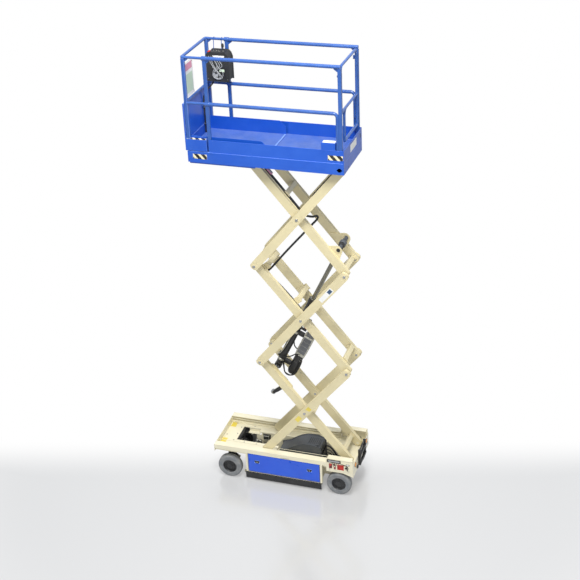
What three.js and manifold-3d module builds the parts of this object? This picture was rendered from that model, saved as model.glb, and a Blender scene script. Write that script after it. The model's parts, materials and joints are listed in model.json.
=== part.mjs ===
// A three-stage electric scissor lift with a slide-out platform extension, shown with its stack raised.
// Units are millimetres. +X is the machine's front, +Y its left side, +Z up, and the floor is at Z = 0.
import * as THREE from "three";
import { mergeVertices } from "three/addons/utils/BufferGeometryUtils.js";
import Module from "manifold-3d";

const wasm = await Module();
wasm.setup();

// ---- Driving dimensions ---------------------------------------------------------------------------

// Clearances
const seatGap = 0.3; // between pieces that touch but stay separate solids
const pinGap = 0.9; // all round a pin in its bore
const laneGap = 7; // between the scissor arms' lanes, and from a lane to what stands beside it
const runGap = 2; // all round a roller in its track

// Chassis
const chassisLength = 1870;
const chassisWidth = 760;
const deckTop = 388; // the flat plate under the folded arms
const plate = 6; // sheet steel of the chassis
const channelTop = 483; // top of the side channels
const channelShelf = 425; // underside of the side channels' outer step, over the doors
const panBottom = 140; // underside of the battery trays
const tubHalfWidth = 164; // clear half width of the centre well
const wellFront = 738; // front edge of the deck's opening
const wellLeft = 80; // left edge of the opening ahead of the controller cover
const wellRight = 226; // right edge of the opening ahead of the battery trays
const coverFront = 150; // front edge of the controller cover
const cabinetFront = -580; // where the side channels end and the rear cabinets begin
const rearPlateBottom = 300;

// Side doors and pothole guards
const doorFront = 470;
const doorRear = -490;
const doorBottom = 147;
const doorThickness = 30;
const doorPinInset = 8; // of the doors' hinge pins, from their front and outer faces
const doorPinRadius = 3;
const doorGap = 9; // between a door's ends and the posts beside it
const trimWidth = 26;
const guardTop = 120; // axis of the pothole guards' hinge
const guardBottom = 27;
const guardThickness = 12;
const guardPinRadius = 5;
const guardFront = 532;
const guardRear = -518;
const guardInset = 18; // from the chassis side to the guards' hinge
const lugWidth = 12;

// Wheels
const wheelBase = 1480;
const tyreRadius = 161.5;
const tyreWidth = 100;
const rimRadius = 92;
const spindleRadius = 20;
const kingpinInset = 140; // from the chassis side to the kingpin
const kingpinRadius = 16;

// Scissor stack
const armLength = 1740; // between the end pins
const armDepth = 90;
const armWidth = 50;
const armNose = 30; // steel past an end pin
const trackInset = 42; // from the chassis side to the inner face of the roller tracks' webs
const stackAngle = 50.26; // degrees from level
const foldedAngle = 4; // degrees from level with the platform down
const basePinX = -846;
const basePinZ = 440;
const pinRadius = 17;
const rollerRadius = 35;
const rollerWidth = 40;
const crossTube = 56; // square cross tubes between the inner arms
const middleTubeAbove = 100; // the second stage's middle cross tube, over the arms' centre line
const middleTubeClear = 161; // from the raised cylinder's axis, along the arms
const lugThickness = 12;
const lugGap = 6; // from a lug to the inner lane, where the next stage folds past

// Lift cylinder
const barrelPinDown = 223; // on the first stage's inner arms, from their upper pins
const rodPinAlong = 281; // on the third stage's inner arms, from their lower pins
const rodPinAbove = 112;
const liftPinRadius = 25;
const barrelRadius = 44;
const barrelLength = 1120; // from its pin to its gland
const rodRadius = 26;
const boreStart = 300; // from the barrel's pin to the closed end of its bore
const pumpOffset = 186; // from the barrel's axis to the pump motor's
const motorRadius = 54;
const tankBelow = 116; // from the barrel's axis to the oil tank
const gussetThickness = 10;

// Roller under the first stage that folds the pothole guards
const camAlong = 1256; // on the inner arms, from their lower pins
const camBelow = 312;
const camY = 20;
const camWidth = 40;

// Platform
const platformFront = 975;
const platformRear = -898;
const platformBelowPin = 14; // from the top pins down to the skirt's lower edge
const skirtHeight = 132;
const toeHeight = 148;
const toeInset = 5; // of the toe boards from the skirt's face
const platformPlate = 6;
const extensionStroke = 900;
const extensionDeckRear = 0;
const mainPostX = 680;
const rearPostX = -862;
const railInset = 25; // from the platform's side to the rails' middle
const railRadius = 21;
const railWall = 3;
const innerRailRadius = 15.5;
const topRailHeight = 1098; // above the deck, to the rail's middle
const midRailHeight = 572;
const gateTube = 16; // radius

// ---- Worked-out sizes -----------------------------------------------------------------------------

const rad = THREE.MathUtils.degToRad;
const halfChassis = chassisLength / 2;
const halfWidth = chassisWidth / 2;
const angle = rad(stackAngle);
const barrelPinAlong = armLength - barrelPinDown;
const runX = armLength * Math.cos(angle);
const riseZ = armLength * Math.sin(angle);
const trackWeb = halfWidth - trackInset; // inner face of the roller tracks' webs
const trackFace = trackWeb - rollerWidth - 2 * runGap - 2; // inner edge of the tracks
const outerLane = trackFace - laneGap - armWidth; // inner face of the outer arms
const innerLane = outerLane - laneGap - armWidth; // inner face of the inner arms
const trackHalf = rollerRadius + runGap;
const topPinZ = basePinZ + 3 * riseZ;
const skirtBottom = topPinZ - platformBelowPin;
const deckZ = skirtBottom + skirtHeight; // top of the platform floor
const toeTop = deckZ + toeHeight;
const topRailZ = deckZ + topRailHeight;
const midRailZ = deckZ + midRailHeight;
const railY = halfWidth - railInset;
const wheelY = halfWidth - tyreWidth / 2;
const wheelX = wheelBase / 2;
const kingpinY = halfWidth - kingpinInset;
const gateHingeX = rearPostX + 30;
const gateHingeY = -(railY - 17 - 12);
const gateBottom = toeTop + 60;
const gateLugs = [gateBottom + 70, topRailZ - 130];
const doorTop = channelShelf - 5;

// ---- Materials ------------------------------------------------------------------------------------

const paint = (color, roughness, metalness = 0.1) =>
  new THREE.MeshStandardMaterial({ color, roughness, metalness });
const cream = paint(0xe6dcb4, 0.45);
const blue = paint(0x2f5fd0, 0.4);
const black = paint(0x17181a, 0.6);
const tyreGrey = paint(0x8d8f92, 0.9, 0);
const hubBlack = paint(0x26272a, 0.55);
const steel = paint(0x9a9c9e, 0.3, 0.9);
const greyPlastic = paint(0x4c5054, 0.65, 0);
const whitePlastic = paint(0xe8e9e6, 0.5, 0);

// ---- Solid helpers --------------------------------------------------------------------------------

// A closed three.js geometry as a solid that can be joined and cut.
function solid(geometry) {
  const bare = geometry.index ? geometry.toNonIndexed() : geometry;
  bare.deleteAttribute("normal");
  bare.deleteAttribute("uv");
  const merged = mergeVertices(bare, 1e-4);
  return new wasm.Manifold(
    new wasm.Mesh({
      numProp: 3,
      vertProperties: merged.attributes.position.array,
      triVerts: new Uint32Array(merged.index.array),
    }),
  );
}

const fuse = (...parts) => parts.flat(3).reduce((whole, part) => whole.add(part));
const cut = (body, ...tools) => tools.flat(3).reduce((whole, tool) => whole.subtract(tool), body);

// A box between two corners.
function box(x0, x1, y0, y1, z0, z1) {
  const geometry = new THREE.BoxGeometry(x1 - x0, y1 - y0, z1 - z0);
  geometry.translate((x0 + x1) / 2, (y0 + y1) / 2, (z0 + z1) / 2);
  return solid(geometry);
}

// A round bar between two points on a line along "x", "y" or "z".
function bar(axis, radius, from, to, a, b, sides = 12) {
  const geometry = new THREE.CylinderGeometry(radius, radius, to - from, sides);
  geometry.translate(0, (from + to) / 2, 0);
  if (axis === "x") geometry.rotateZ(-Math.PI / 2).translate(0, a, b);
  if (axis === "y") geometry.translate(a, 0, b);
  if (axis === "z") geometry.rotateX(Math.PI / 2).translate(a, b, 0);
  return solid(geometry);
}

// An outline in the XZ plane, given as [x, z] points, as a slab between two Y values.
function slabY(points, y0, y1) {
  const shape = new THREE.Shape(points.map(([x, z]) => new THREE.Vector2(x, z)));
  const geometry = new THREE.ExtrudeGeometry(shape, { depth: y1 - y0, bevelEnabled: false });
  geometry.rotateX(Math.PI / 2).translate(0, y1, 0);
  return solid(geometry);
}

// An outline in the YZ plane, given as [y, z] points, as a slab between two X values.
function slabX(points, x0, x1) {
  const shape = new THREE.Shape(points.map(([y, z]) => new THREE.Vector2(y, z)));
  const geometry = new THREE.ExtrudeGeometry(shape, { depth: x1 - x0, bevelEnabled: false });
  geometry.rotateX(Math.PI / 2).rotateZ(Math.PI / 2).translate(x0, 0, 0);
  return solid(geometry);
}

// A round tube that follows [x, y, z] points with rounded corners of the given radius.
function pipe(points, radius, bend, sides = 8) {
  const path = new THREE.CurvePath();
  const at = points.map((p) => new THREE.Vector3(...p));
  let start = at[0];
  for (let i = 1; i < at.length - 1; i++) {
    const into = at[i].clone().sub(at[i - 1]).normalize();
    const out = at[i + 1].clone().sub(at[i]).normalize();
    const before = at[i].clone().addScaledVector(into, -bend);
    const after = at[i].clone().addScaledVector(out, bend);
    path.add(new THREE.LineCurve3(start, before));
    path.add(new THREE.QuadraticBezierCurve3(before, at[i], after));
    start = after;
  }
  path.add(new THREE.LineCurve3(start, at[at.length - 1]));
  const ring = new THREE.Shape();
  ring.absarc(0, 0, radius, 0, 2 * Math.PI);
  const stops = [];
  path.curves.forEach((curve, i) => {
    const steps = curve.isLineCurve3 ? 1 : 4;
    for (let k = i ? 1 : 0; k <= steps; k++) stops.push(curve.getPoint(k / steps));
  });
  return solid(sweep(ring.getPoints(sides).slice(0, sides), stops));
}

// A closed tube through the stops, mitred at each one, from a section of flat points.
function sweep(section, stops) {
  const positions = [];
  const index = [];
  const count = section.length;
  const first = stops[1].clone().sub(stops[0]).normalize();
  const helper = Math.abs(first.z) > 0.9 ? new THREE.Vector3(1, 0, 0) : new THREE.Vector3(0, 0, 1);
  let side = new THREE.Vector3().crossVectors(helper, first).normalize();
  let travel = first;
  stops.forEach((stop, i) => {
    const into = i ? stop.clone().sub(stops[i - 1]).normalize() : first;
    const out = i < stops.length - 1 ? stops[i + 1].clone().sub(stop).normalize() : into;
    side.applyQuaternion(new THREE.Quaternion().setFromUnitVectors(travel, into));
    travel = into;
    const up = new THREE.Vector3().crossVectors(into, side);
    const mitre = into.clone().add(out).normalize();
    for (const p of section) {
      const corner = side.clone().multiplyScalar(p.x).addScaledVector(up, p.y);
      corner.addScaledVector(into, -corner.dot(mitre) / into.dot(mitre));
      positions.push(stop.x + corner.x, stop.y + corner.y, stop.z + corner.z);
    }
  });
  for (let i = 0; i < stops.length - 1; i++) {
    for (let k = 0; k < count; k++) {
      const a = i * count + k;
      const b = i * count + ((k + 1) % count);
      index.push(a, b, a + count, b, b + count, a + count);
    }
  }
  const last = (stops.length - 1) * count;
  for (let k = 1; k < count - 1; k++) {
    index.push(0, k + 1, k);
    index.push(last, last + k, last + k + 1);
  }
  const geometry = new THREE.BufferGeometry();
  geometry.setAttribute("position", new THREE.Float32BufferAttribute(positions, 3));
  geometry.setIndex(index);
  return geometry;
}

// A turned solid about an axis along Y: the profile's points are [radius, y].
function turned(profile, x, z, sides = 20) {
  const points = profile.map(([r, y]) => new THREE.Vector2(r, y));
  const geometry = new THREE.LatheGeometry(points, sides);
  geometry.translate(x, 0, z);
  return solid(geometry);
}

const lift = new THREE.Group();

// Adds one solid as a named mesh to a group.
function piece(name, body, material, parent = lift) {
  const made = body.getMesh();
  const geometry = new THREE.BufferGeometry();
  geometry.setAttribute("position", new THREE.Float32BufferAttribute(made.vertProperties, 3));
  geometry.setIndex(new THREE.Uint32BufferAttribute(made.triVerts, 1));
  geometry.computeVertexNormals();
  const mesh = new THREE.Mesh(geometry, material);
  mesh.name = name;
  parent.add(mesh);
  return mesh;
}

// Runs a maker for the left side (+1) and the right side (-1).
const bothSides = (make) => [make(1, "left"), make(-1, "right")];

// Y values of a slab on the given side, in rising order.
const span = (side, near, far) => (side > 0 ? [near, far] : [-far, -near]);

// ---- Chassis --------------------------------------------------------------------------------------

function sideChannel(side) {
  const flip = (points) => (side > 0 ? points : points.map(([y, z]) => [-y, z]).reverse());
  const lower = basePinZ - trackHalf;
  const upper = basePinZ + trackHalf;
  const outline = [
    [trackFace, channelTop],
    [trackFace, upper],
    [halfWidth - plate, upper],
    [halfWidth - plate, channelShelf + plate],
    [trackWeb, channelShelf + plate],
    [trackWeb, lower],
    [trackFace, lower],
    [trackFace, deckTop - plate],
    [trackWeb + plate, deckTop - plate],
    [trackWeb + plate, channelShelf],
    [halfWidth, channelShelf],
    [halfWidth, channelTop],
  ];
  return slabX(flip(outline), cabinetFront, halfChassis);
}

function chassisFrame() {
  const trayFront = doorFront + seatGap;
  const trayRear = doorRear - seatGap;
  const under = deckTop - plate;
  const parts = [];
  // Front and rear end plates, the deck and the centre well's rim.
  parts.push(box(halfChassis - plate, halfChassis, -halfWidth, halfWidth, under, channelTop));
  parts.push(box(-halfChassis, -halfChassis + plate, -halfWidth, halfWidth, rearPlateBottom, channelTop));
  const deck = box(-halfChassis + 1, halfChassis - 1, -trackWeb, trackWeb, under, deckTop);
  const wells = [
    box(-700, coverFront, -tubHalfWidth, tubHalfWidth, under - 1, deckTop + 1),
    box(coverFront - 1, wellFront, -tubHalfWidth, wellLeft, under - 1, deckTop + 1),
    box(trayFront + plate + 20, wellFront, -wellRight, 0, under - 1, deckTop + 1),
  ];
  parts.push(cut(deck, wells));
  for (const side of [1, -1]) {
    parts.push(sideChannel(side));
    const [wallA, wallB] = span(side, tubHalfWidth, tubHalfWidth + plate);
    parts.push(box(-705, trayFront + plate, wallA, wallB, panBottom, deckTop - 1));
    const [panA, panB] = span(side, tubHalfWidth, halfWidth - doorThickness - 4);
    for (const x of [trayFront, trayRear - plate]) {
      parts.push(box(x, x + plate, panA, panB, panBottom, deckTop - 1));
    }
    parts.push(box(trayRear - plate, trayFront + plate, panA, panB, panBottom, panBottom + plate));
    // White-edged posts that close the door openings at each end.
    const [postA, postB] = span(side, halfWidth - doorThickness - 8, halfWidth);
    for (const x of [doorFront + doorGap, doorRear - doorGap - trimWidth]) {
      parts.push(box(x, x + trimWidth, postA, postB, panBottom, channelShelf + 1));
    }
    // The plate that closes the step between the deck and the side channel, down to the trays.
    const [stepA, stepB] = span(side, trackWeb, trackWeb + plate);
    parts.push(box(cabinetFront - 1, halfChassis - 1, stepA, stepB, under, channelShelf + 1));
    // The sill under the door, with the door's hinge pins and the lugs and pins of the guard.
    const [sillA, sillB] = span(side, halfWidth - doorThickness - 8, halfWidth - 2);
    parts.push(box(guardRear, guardFront, sillA, sillB, panBottom - 6, panBottom + 2));
    const doorPinX = doorFront - doorPinInset;
    const doorPinY = side * (halfWidth - doorPinInset);
    parts.push(bar("z", doorPinRadius, panBottom, doorBottom + 16, doorPinX, doorPinY, 10));
    parts.push(bar("z", doorPinRadius, doorTop - 16, channelShelf + 1, doorPinX, doorPinY, 10));
    const guardY = side * (halfWidth - guardInset);
    for (const [x, way] of [
      [guardFront - lugWidth, -1],
      [guardRear, 1],
    ]) {
      const tip = way > 0 ? x + lugWidth + 16 : x - 16;
      const root = x + lugWidth / 2;
      parts.push(box(x, x + lugWidth, guardY - 10, guardY + 10, guardTop - 10, panBottom));
      parts.push(bar("x", guardPinRadius, Math.min(root, tip), Math.max(root, tip), guardY, guardTop, 10));
    }
    // Brackets and pins of the first stage's inner arms.
    const bracketY = innerLane + armWidth + laneGap;
    const [earA, earB] = span(side, bracketY, bracketY + 14);
    const ear = [
      [basePinX - 60, deckTop - 1],
      [basePinX + 70, deckTop - 1],
      [basePinX + 34, basePinZ + 20],
      [basePinX + 14, basePinZ + 32],
      [basePinX - 14, basePinZ + 32],
      [basePinX - 34, basePinZ + 20],
    ];
    parts.push(slabY(ear, earA, earB));
    const [pinA, pinB] = span(side, innerLane - 4, bracketY + 2);
    parts.push(bar("y", pinRadius, pinA, pinB, basePinX, basePinZ));
    // Hangers that hold the rear axle under the deck.
    const [hangA, hangB] = span(side, 190, 202);
    parts.push(box(-wheelX - 45, -wheelX + 45, hangA, hangB, tyreRadius + 25 + seatGap, deckTop - 1));
  }
  // Cross members under the deck.
  parts.push(box(-711, -705, -tubHalfWidth - plate, tubHalfWidth + plate, 250, deckTop - 1));
  parts.push(box(-705, trayFront + plate, -tubHalfWidth - 1, tubHalfWidth + 1, panBottom, panBottom + plate));
  parts.push(box(trayFront, trayFront + plate, -tubHalfWidth - 1, tubHalfWidth + 1, panBottom, 240));
  return fuse(parts);
}
piece("chassis_frame", chassisFrame(), cream);

// Rear cabinets over the rear wheels: the left one holds the ground controls.
bothSides((side, word) => {
  const [y0, y1] = span(side, trackWeb + plate + 6, halfWidth - 6);
  const rear = -halfChassis + plate + seatGap;
  const front = cabinetFront - seatGap - 1;
  const outline = [
    [rear, rearPlateBottom + 10],
    [rear + 22, rearPlateBottom + 10],
    [-wheelX - 60, tyreRadius * 2 + 22],
    [front, tyreRadius * 2 + 22],
    [front, channelTop + 34],
    [front - 30, channelTop + 64],
    [rear, channelTop + 64],
  ];
  const [in0, in1] = span(side, trackWeb + plate + seatGap, trackWeb + plate + 8);
  const inner = box(rear + 40, front - 40, in0, in1, deckTop + 6, channelTop + 20);
  const body = fuse(slabY(outline, y0, y1), inner);
  piece(word === "left" ? "ground_control_cabinet" : "charger_cabinet", body, cream);
});

// Boarding ladder bars on the rear end.
{
  const x = -halfChassis - seatGap;
  const rails = [-120, 120].map((y) => box(x - 34, x, y - 12, y + 12, 330, 560));
  const rungs = [352, 470].map((z) => box(x - 40, x - 12, -130, 130, z, z + 26));
  piece("boarding_ladder", fuse(rails, rungs, box(x - 20, x - 8, -130, 130, 536, 560)), black);
}

// Battery packs in the trays behind the doors.
bothSides((side, word) => {
  const [y0, y1] = span(side, tubHalfWidth + plate + 4, halfWidth - doorThickness - 12);
  const floor = panBottom + plate + seatGap;
  const blocks = [-1, 1].map((end) => box(end * 226 - 218, end * 226 + 218, y0, y1, floor, floor + 190));
  const [strapA, strapB] = side > 0 ? [y0 + 60, y1 - 50] : [y0 + 50, y1 - 60];
  const strap = box(-420, 420, strapA, strapB, floor, floor + 200);
  piece(`battery_pack_${word}`, fuse(blocks, strap), black);
});

// The moulded cover over the drive controller in the centre well, with the ledge that carries it.
{
  const outline = [
    [coverFront, 330],
    [40, 368],
    [-60, 440],
    [-190, 505],
    [-330, 512],
    [-420, 480],
    [-430, panBottom + plate + seatGap],
    [coverFront, panBottom + plate + seatGap],
  ];
  piece("controller_cover", slabY(outline, -120, 130), greyPlastic);
}

// Hydraulic valve block and drive controller seen in the front opening.
{
  const floor = panBottom + plate + seatGap;
  const block = fuse(
    box(250, 440, -150, -40, floor, 250),
    bar("z", 30, 245, 268, 300, -95),
    bar("z", 22, 245, 275, 390, -95),
  );
  piece("valve_block", block, steel);
}

// ---- Axles and wheels -----------------------------------------------------------------------------

// Front axle beam, above the tyres so that the wheels can steer under it.
{
  const low = 2 * tyreRadius + 14;
  const high = deckTop - plate - seatGap;
  const beam = box(wheelX - 36, wheelX + 36, -kingpinY - 34, kingpinY + 34, low, high);
  const bores = [kingpinY, -kingpinY].map((y) =>
    bar("z", kingpinRadius + pinGap, low - 1, high + 1, wheelX, y),
  );
  piece("front_axle", cut(beam, bores), black);
}

// Rear axle beam with its two spindles.
{
  const spindleEnd = halfWidth - 30;
  const parts = [
    box(-wheelX - 35, -wheelX + 35, -235, 235, tyreRadius - 25, tyreRadius + 25),
    bar("y", spindleRadius, -spindleEnd, spindleEnd, -wheelX, tyreRadius),
  ];
  piece("rear_axle", fuse(parts), black);
}

// Steering knuckle: a kingpin and arm inside the tyre, an arch over it, and the drive motor.
bothSides((side, word) => {
  const innerFace = halfWidth - tyreWidth;
  const beamLow = 2 * tyreRadius + 14;
  const [armA, armB] = span(side, innerFace - 46, innerFace - 8);
  const arm = [
    [wheelX - 60, tyreRadius - 50],
    [wheelX + 60, tyreRadius - 50],
    [wheelX + 60, tyreRadius + 60],
    [wheelX + 34, beamLow - 1],
    [wheelX - 34, beamLow - 1],
    [wheelX - 60, tyreRadius + 60],
  ];
  const [motorA, motorB] = span(side, innerFace - 150, innerFace - 20);
  const [spindleA, spindleB] = span(side, innerFace - 20, halfWidth - 30);
  const parts = [
    slabY(arm, armA, armB),
    bar("z", kingpinRadius, beamLow - 20, deckTop - plate - 6, wheelX, side * kingpinY),
    bar("y", 58, motorA, motorB, wheelX, tyreRadius, 20),
    bar("y", spindleRadius, spindleA, spindleB, wheelX, tyreRadius),
  ];
  piece(`steering_knuckle_${word}`, fuse(parts), black);
});

const tyreProfile = [
  [rimRadius + seatGap, -tyreWidth / 2 + 8],
  [tyreRadius - 26, -tyreWidth / 2],
  [tyreRadius - 8, -tyreWidth / 2 + 7],
  [tyreRadius, -tyreWidth / 2 + 20],
  [tyreRadius, tyreWidth / 2 - 20],
  [tyreRadius - 8, tyreWidth / 2 - 7],
  [tyreRadius - 26, tyreWidth / 2],
  [rimRadius + seatGap, tyreWidth / 2 - 8],
  [rimRadius + seatGap, -tyreWidth / 2 + 8],
];
// The rim's profile, from the inner side (negative) to the outer face (positive).
const rimProfile = [
  [spindleRadius + pinGap, -tyreWidth / 2 + 10],
  [rimRadius, -tyreWidth / 2 + 10],
  [rimRadius, tyreWidth / 2 - 10],
  [rimRadius - 12, tyreWidth / 2 - 10],
  [rimRadius - 18, tyreWidth / 2 - 24],
  [46, tyreWidth / 2 - 24],
  [40, tyreWidth / 2 - 6],
  [spindleRadius + pinGap, tyreWidth / 2 - 6],
  [spindleRadius + pinGap, -tyreWidth / 2 + 10],
];
for (const [place, x] of [
  ["front", wheelX],
  ["rear", -wheelX],
]) {
  bothSides((side, word) => {
    const face = (profile) => (side > 0 ? profile : profile.map(([r, y]) => [r, -y]).reverse());
    const shift = (profile) => face(profile).map(([r, y]) => [r, y + side * wheelY]);
    piece(`${place}_${word}_tyre`, turned(shift(tyreProfile), x, tyreRadius), tyreGrey);
    piece(`${place}_${word}_wheel`, turned(shift(rimProfile), x, tyreRadius), hubBlack);
  });
}

// ---- Doors and guards -----------------------------------------------------------------------------

bothSides((side, word) => {
  const outer = halfWidth;
  const inner = halfWidth - doorThickness;
  const flip = (points) => (side > 0 ? points : points.map(([y, z]) => [-y, z]).reverse());
  const skin = slabX(
    flip([
      [inner, doorTop - 8],
      [inner, doorBottom],
      [outer - 4, doorBottom],
      [outer, doorBottom + 16],
      [outer, doorTop - 6],
      [outer - 3, doorTop],
    ]),
    doorRear,
    doorFront,
  );
  const [hollowA, hollowB] = span(side, inner - 1, outer - 14);
  const hollow = box(doorRear + 20, doorFront - 20, hollowA, hollowB, doorBottom + 20, doorTop - 24);
  const [gripA, gripB] = span(side, outer - 9, outer + 1);
  const grips = [352, -356].map((x) => box(x - 34, x + 34, gripA, gripB, 285, 330));
  const pinX = doorFront - doorPinInset;
  const pinY = side * (halfWidth - doorPinInset);
  const bores = [doorBottom - 1, doorTop - 18].map((z) =>
    bar("z", doorPinRadius + pinGap, z, z + 19, pinX, pinY, 10),
  );
  piece(`${word}_door`, cut(skin, hollow, grips, bores), blue);
});

bothSides((side, word) => {
  const y = side * (halfWidth - guardInset);
  const from = guardRear + lugWidth + seatGap;
  const to = guardFront - lugWidth - seatGap;
  const tube = bar("x", 9, from, to, y, guardTop, 10);
  const leaf = box(from, to, y - guardThickness / 2, y + guardThickness / 2, guardBottom, guardTop);
  const lip = side > 0 ? [y - 18, y + 6] : [y - 6, y + 18];
  const foot = box(from, to, lip[0], lip[1], guardBottom, guardBottom + 8);
  const bores = [from - 1, to - 17].map((x) => bar("x", guardPinRadius + pinGap, x, x + 18, y, guardTop, 10));
  piece(`${word}_pothole_guard`, cut(fuse(tube, leaf, foot), bores), black);
});

// ---- Scissor stack --------------------------------------------------------------------------------

// A point on a stage's inner arms at a stack angle, from its lower pins.
function onInner(stage, along, above, turn) {
  const x = basePinX + along * Math.cos(turn) - above * Math.sin(turn);
  const rise = stage * armLength * Math.sin(turn);
  return [x, basePinZ + rise + along * Math.sin(turn) + above * Math.cos(turn)];
}
function liftSpan(turn) {
  const [x0, z0] = onInner(0, barrelPinAlong, 0, turn);
  const [x1, z1] = onInner(2, rodPinAlong, rodPinAbove, turn);
  return Math.hypot(x1 - x0, z1 - z0);
}
// How far along the second stage's inner arms the raised cylinder passes at a height above them.
function cylinderCrossing(above) {
  const [lowX, lowZ] = onInner(1, 0, 0, angle);
  const [from, to] = [onInner(0, barrelPinAlong, 0, angle), onInner(2, rodPinAlong, rodPinAbove, angle)].map(
    ([x, z]) => [
      (x - lowX) * Math.cos(angle) + (z - lowZ) * Math.sin(angle),
      (z - lowZ) * Math.cos(angle) - (x - lowX) * Math.sin(angle),
    ],
  );
  return from[0] + ((above - from[1]) / (to[1] - from[1])) * (to[0] - from[0]);
}

// An arm's side view, pins on the X axis, with rounded noses past both pins.
function armOutline() {
  const half = armDepth / 2;
  const steps = 4;
  const points = [];
  for (let i = 0; i <= steps; i++) {
    const turn = -Math.PI / 2 + (i * Math.PI) / steps;
    points.push([armLength + armNose * Math.cos(turn), half * Math.sin(turn)]);
  }
  for (let i = 0; i <= steps; i++) {
    const turn = Math.PI / 2 + (i * Math.PI) / steps;
    points.push([armNose * Math.cos(turn), half * Math.sin(turn)]);
  }
  return points;
}

const bore = (x, y0, y1) => bar("y", pinRadius + pinGap, y0, y1, x, 0);

// Inner arms rise towards the front: a pair of tubes joined by cross tubes at [along, above] places.
function innerFrame(crossings, extras = [], cuts = []) {
  const half = crossTube / 2;
  const arms = [1, -1].map((side) => {
    const [y0, y1] = span(side, innerLane, innerLane + armWidth);
    const holes = [0, armLength / 2, armLength].map((x) => bore(x, y0 - 1, y1 + 1));
    return cut(slabY(armOutline(), y0, y1), holes);
  });
  const tubes = crossings.map(([along, above]) =>
    box(along - half, along + half, -innerLane + 8, innerLane - 8, above - half, above + half),
  );
  // A lug stands off each arm's inner face and holds the end of every cross tube.
  const lugs = crossings.flatMap(([along, above]) => {
    const [from, to] = [along - half - 14, along + half + 14];
    const low = Math.min(-armDepth / 2 + 8, above - half);
    const high = Math.max(armDepth / 2 - 8, above + half);
    return [1, -1].flatMap((side) => {
      const [y0, y1] = span(side, innerLane - lugGap - lugThickness, innerLane - lugGap);
      const [k0, k1] = span(side, innerLane - lugGap - 1, innerLane + 2);
      return [
        box(from, to, y0, y1, low, high),
        box(from + 6, to - 6, k0, k1, -armDepth / 2 + 8, armDepth / 2 - 8),
      ];
    });
  });
  return cut(fuse(arms, tubes, lugs, extras), cuts);
}

// Outer arms rise towards the rear. Each is one tube with the pins that enter its neighbours' bores.
function outerArm(side, pins, extras = [], holes = []) {
  const [y0, y1] = span(side, outerLane, outerLane + armWidth);
  const [pinA, pinB] = span(side, innerLane + 3, outerLane + 2);
  const [headA, headB] = span(side, outerLane + armWidth - 1, outerLane + armWidth + 4);
  const shafts = pins.map((x) => bar("y", pinRadius, pinA, pinB, x, 0));
  const heads = pins.map((x) => bar("y", pinRadius + 6, headA, headB, x, 0, 12));
  const tools = holes.map((x) => bore(x, y0 - 1, y1 + 1));
  return cut(fuse(slabY(armOutline(), y0, y1), shafts, heads, extras), tools);
}

// Places an inner frame by its lower rear pin, and an outer arm by its lower front pin.
function stagePlace(stage, outer) {
  const group = new THREE.Group();
  group.position.set(outer ? basePinX + runX : basePinX, 0, basePinZ + stage * riseZ);
  group.rotation.y = outer ? Math.PI + angle : -angle;
  lift.add(group);
  return group;
}

// A roller on a stub axle at an arm's end, outboard of the lane that starts at y.
function endRoller(side, along, fromY) {
  const [stubA, stubB] = span(side, fromY, trackFace + 4);
  const [rollA, rollB] = span(side, trackFace + runGap, trackFace + runGap + rollerWidth);
  return [
    bar("y", 20, stubA, stubB, along, 0),
    bar("y", rollerRadius, rollA, rollB, along, 0, 20),
  ];
}

const liftPin = (along, above) =>
  bar("y", liftPinRadius, -innerLane - 4, innerLane + 4, along, above, 16);

// Gusset plates on the inner arms' inner faces, from a list of [along, above] corners.
function gussets(points) {
  return [1, -1].map((side) => slabY(points, ...span(side, innerLane - gussetThickness, innerLane + 4)));
}

{
  const stage1 = stagePlace(0, false);
  const plates = gussets([
    [barrelPinAlong - 387, -40],
    [barrelPinAlong + 123, -40],
    [barrelPinAlong + 83, 66],
    [barrelPinAlong - 287, 66],
  ]);
  const [leg0, leg1] = [camAlong - 24, camAlong + 24];
  const legY = camY + camWidth + seatGap;
  const bracket = [
    box(leg0, leg1, legY, legY + 12, -camBelow - 18, -18),
    box(leg0, leg1, legY, innerLane - 4, -38, -18),
  ];
  const axle = bar("y", 8, camY - 4, legY + 1, camAlong, -camBelow);
  const frame = innerFrame(
    [
      [140, 0],
      [armLength / 2 - 90, 0],
    ],
    [plates, liftPin(barrelPinAlong, 0), bracket, axle],
  );
  piece("stage1_inner_frame", frame, cream, stage1);
  // The roller that folds the pothole guards when the stack comes down.
  const wheel = bar("y", 32, camY, camY + camWidth, camAlong, -camBelow, 20);
  const hole = bar("y", 8 + pinGap, camY - 1, legY, camAlong, -camBelow);
  piece("guard_cam_roller", cut(wheel, hole), steel, stage1);
}
{
  const stage2 = stagePlace(1, false);
  piece("stage2_inner_frame", innerFrame([
    [130, 40],
    [cylinderCrossing(middleTubeAbove) + middleTubeClear, middleTubeAbove],
    [armLength - 100, 86],
  ]), cream, stage2);
}
{
  const stage3 = stagePlace(2, false);
  const plates = gussets([
    [rodPinAlong - 150, -30],
    [rodPinAlong + 170, -30],
    [rodPinAlong + 96, 60],
    [rodPinAlong + 44, rodPinAbove + 34],
    [rodPinAlong - 40, rodPinAbove + 34],
    [rodPinAlong - 88, 60],
  ]);
  const rollers = [1, -1].map((side) => endRoller(side, armLength, innerLane + armWidth - 2));
  piece("stage3_inner_frame", innerFrame([
    [40, -6],
    [armLength - 574, 45],
  ], [plates, rollers]), cream, stage3);
}
for (const stage of [1, 2, 3]) {
  const group = stagePlace(stage - 1, true);
  bothSides((side, word) => {
    const middle = armLength / 2;
    const sets = {
      1: { pins: [middle, armLength], extras: endRoller(side, 0, outerLane + armWidth - 2), holes: [] },
      2: { pins: [0, middle, armLength], extras: [], holes: [] },
      3: { pins: [0, middle], extras: [], holes: [armLength] },
    };
    const { pins, extras, holes } = sets[stage];
    piece(`stage${stage}_outer_arm_${word}`, outerArm(side, pins, extras, holes), cream, group);
  });
}

// ---- Lift cylinder --------------------------------------------------------------------------------

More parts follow.
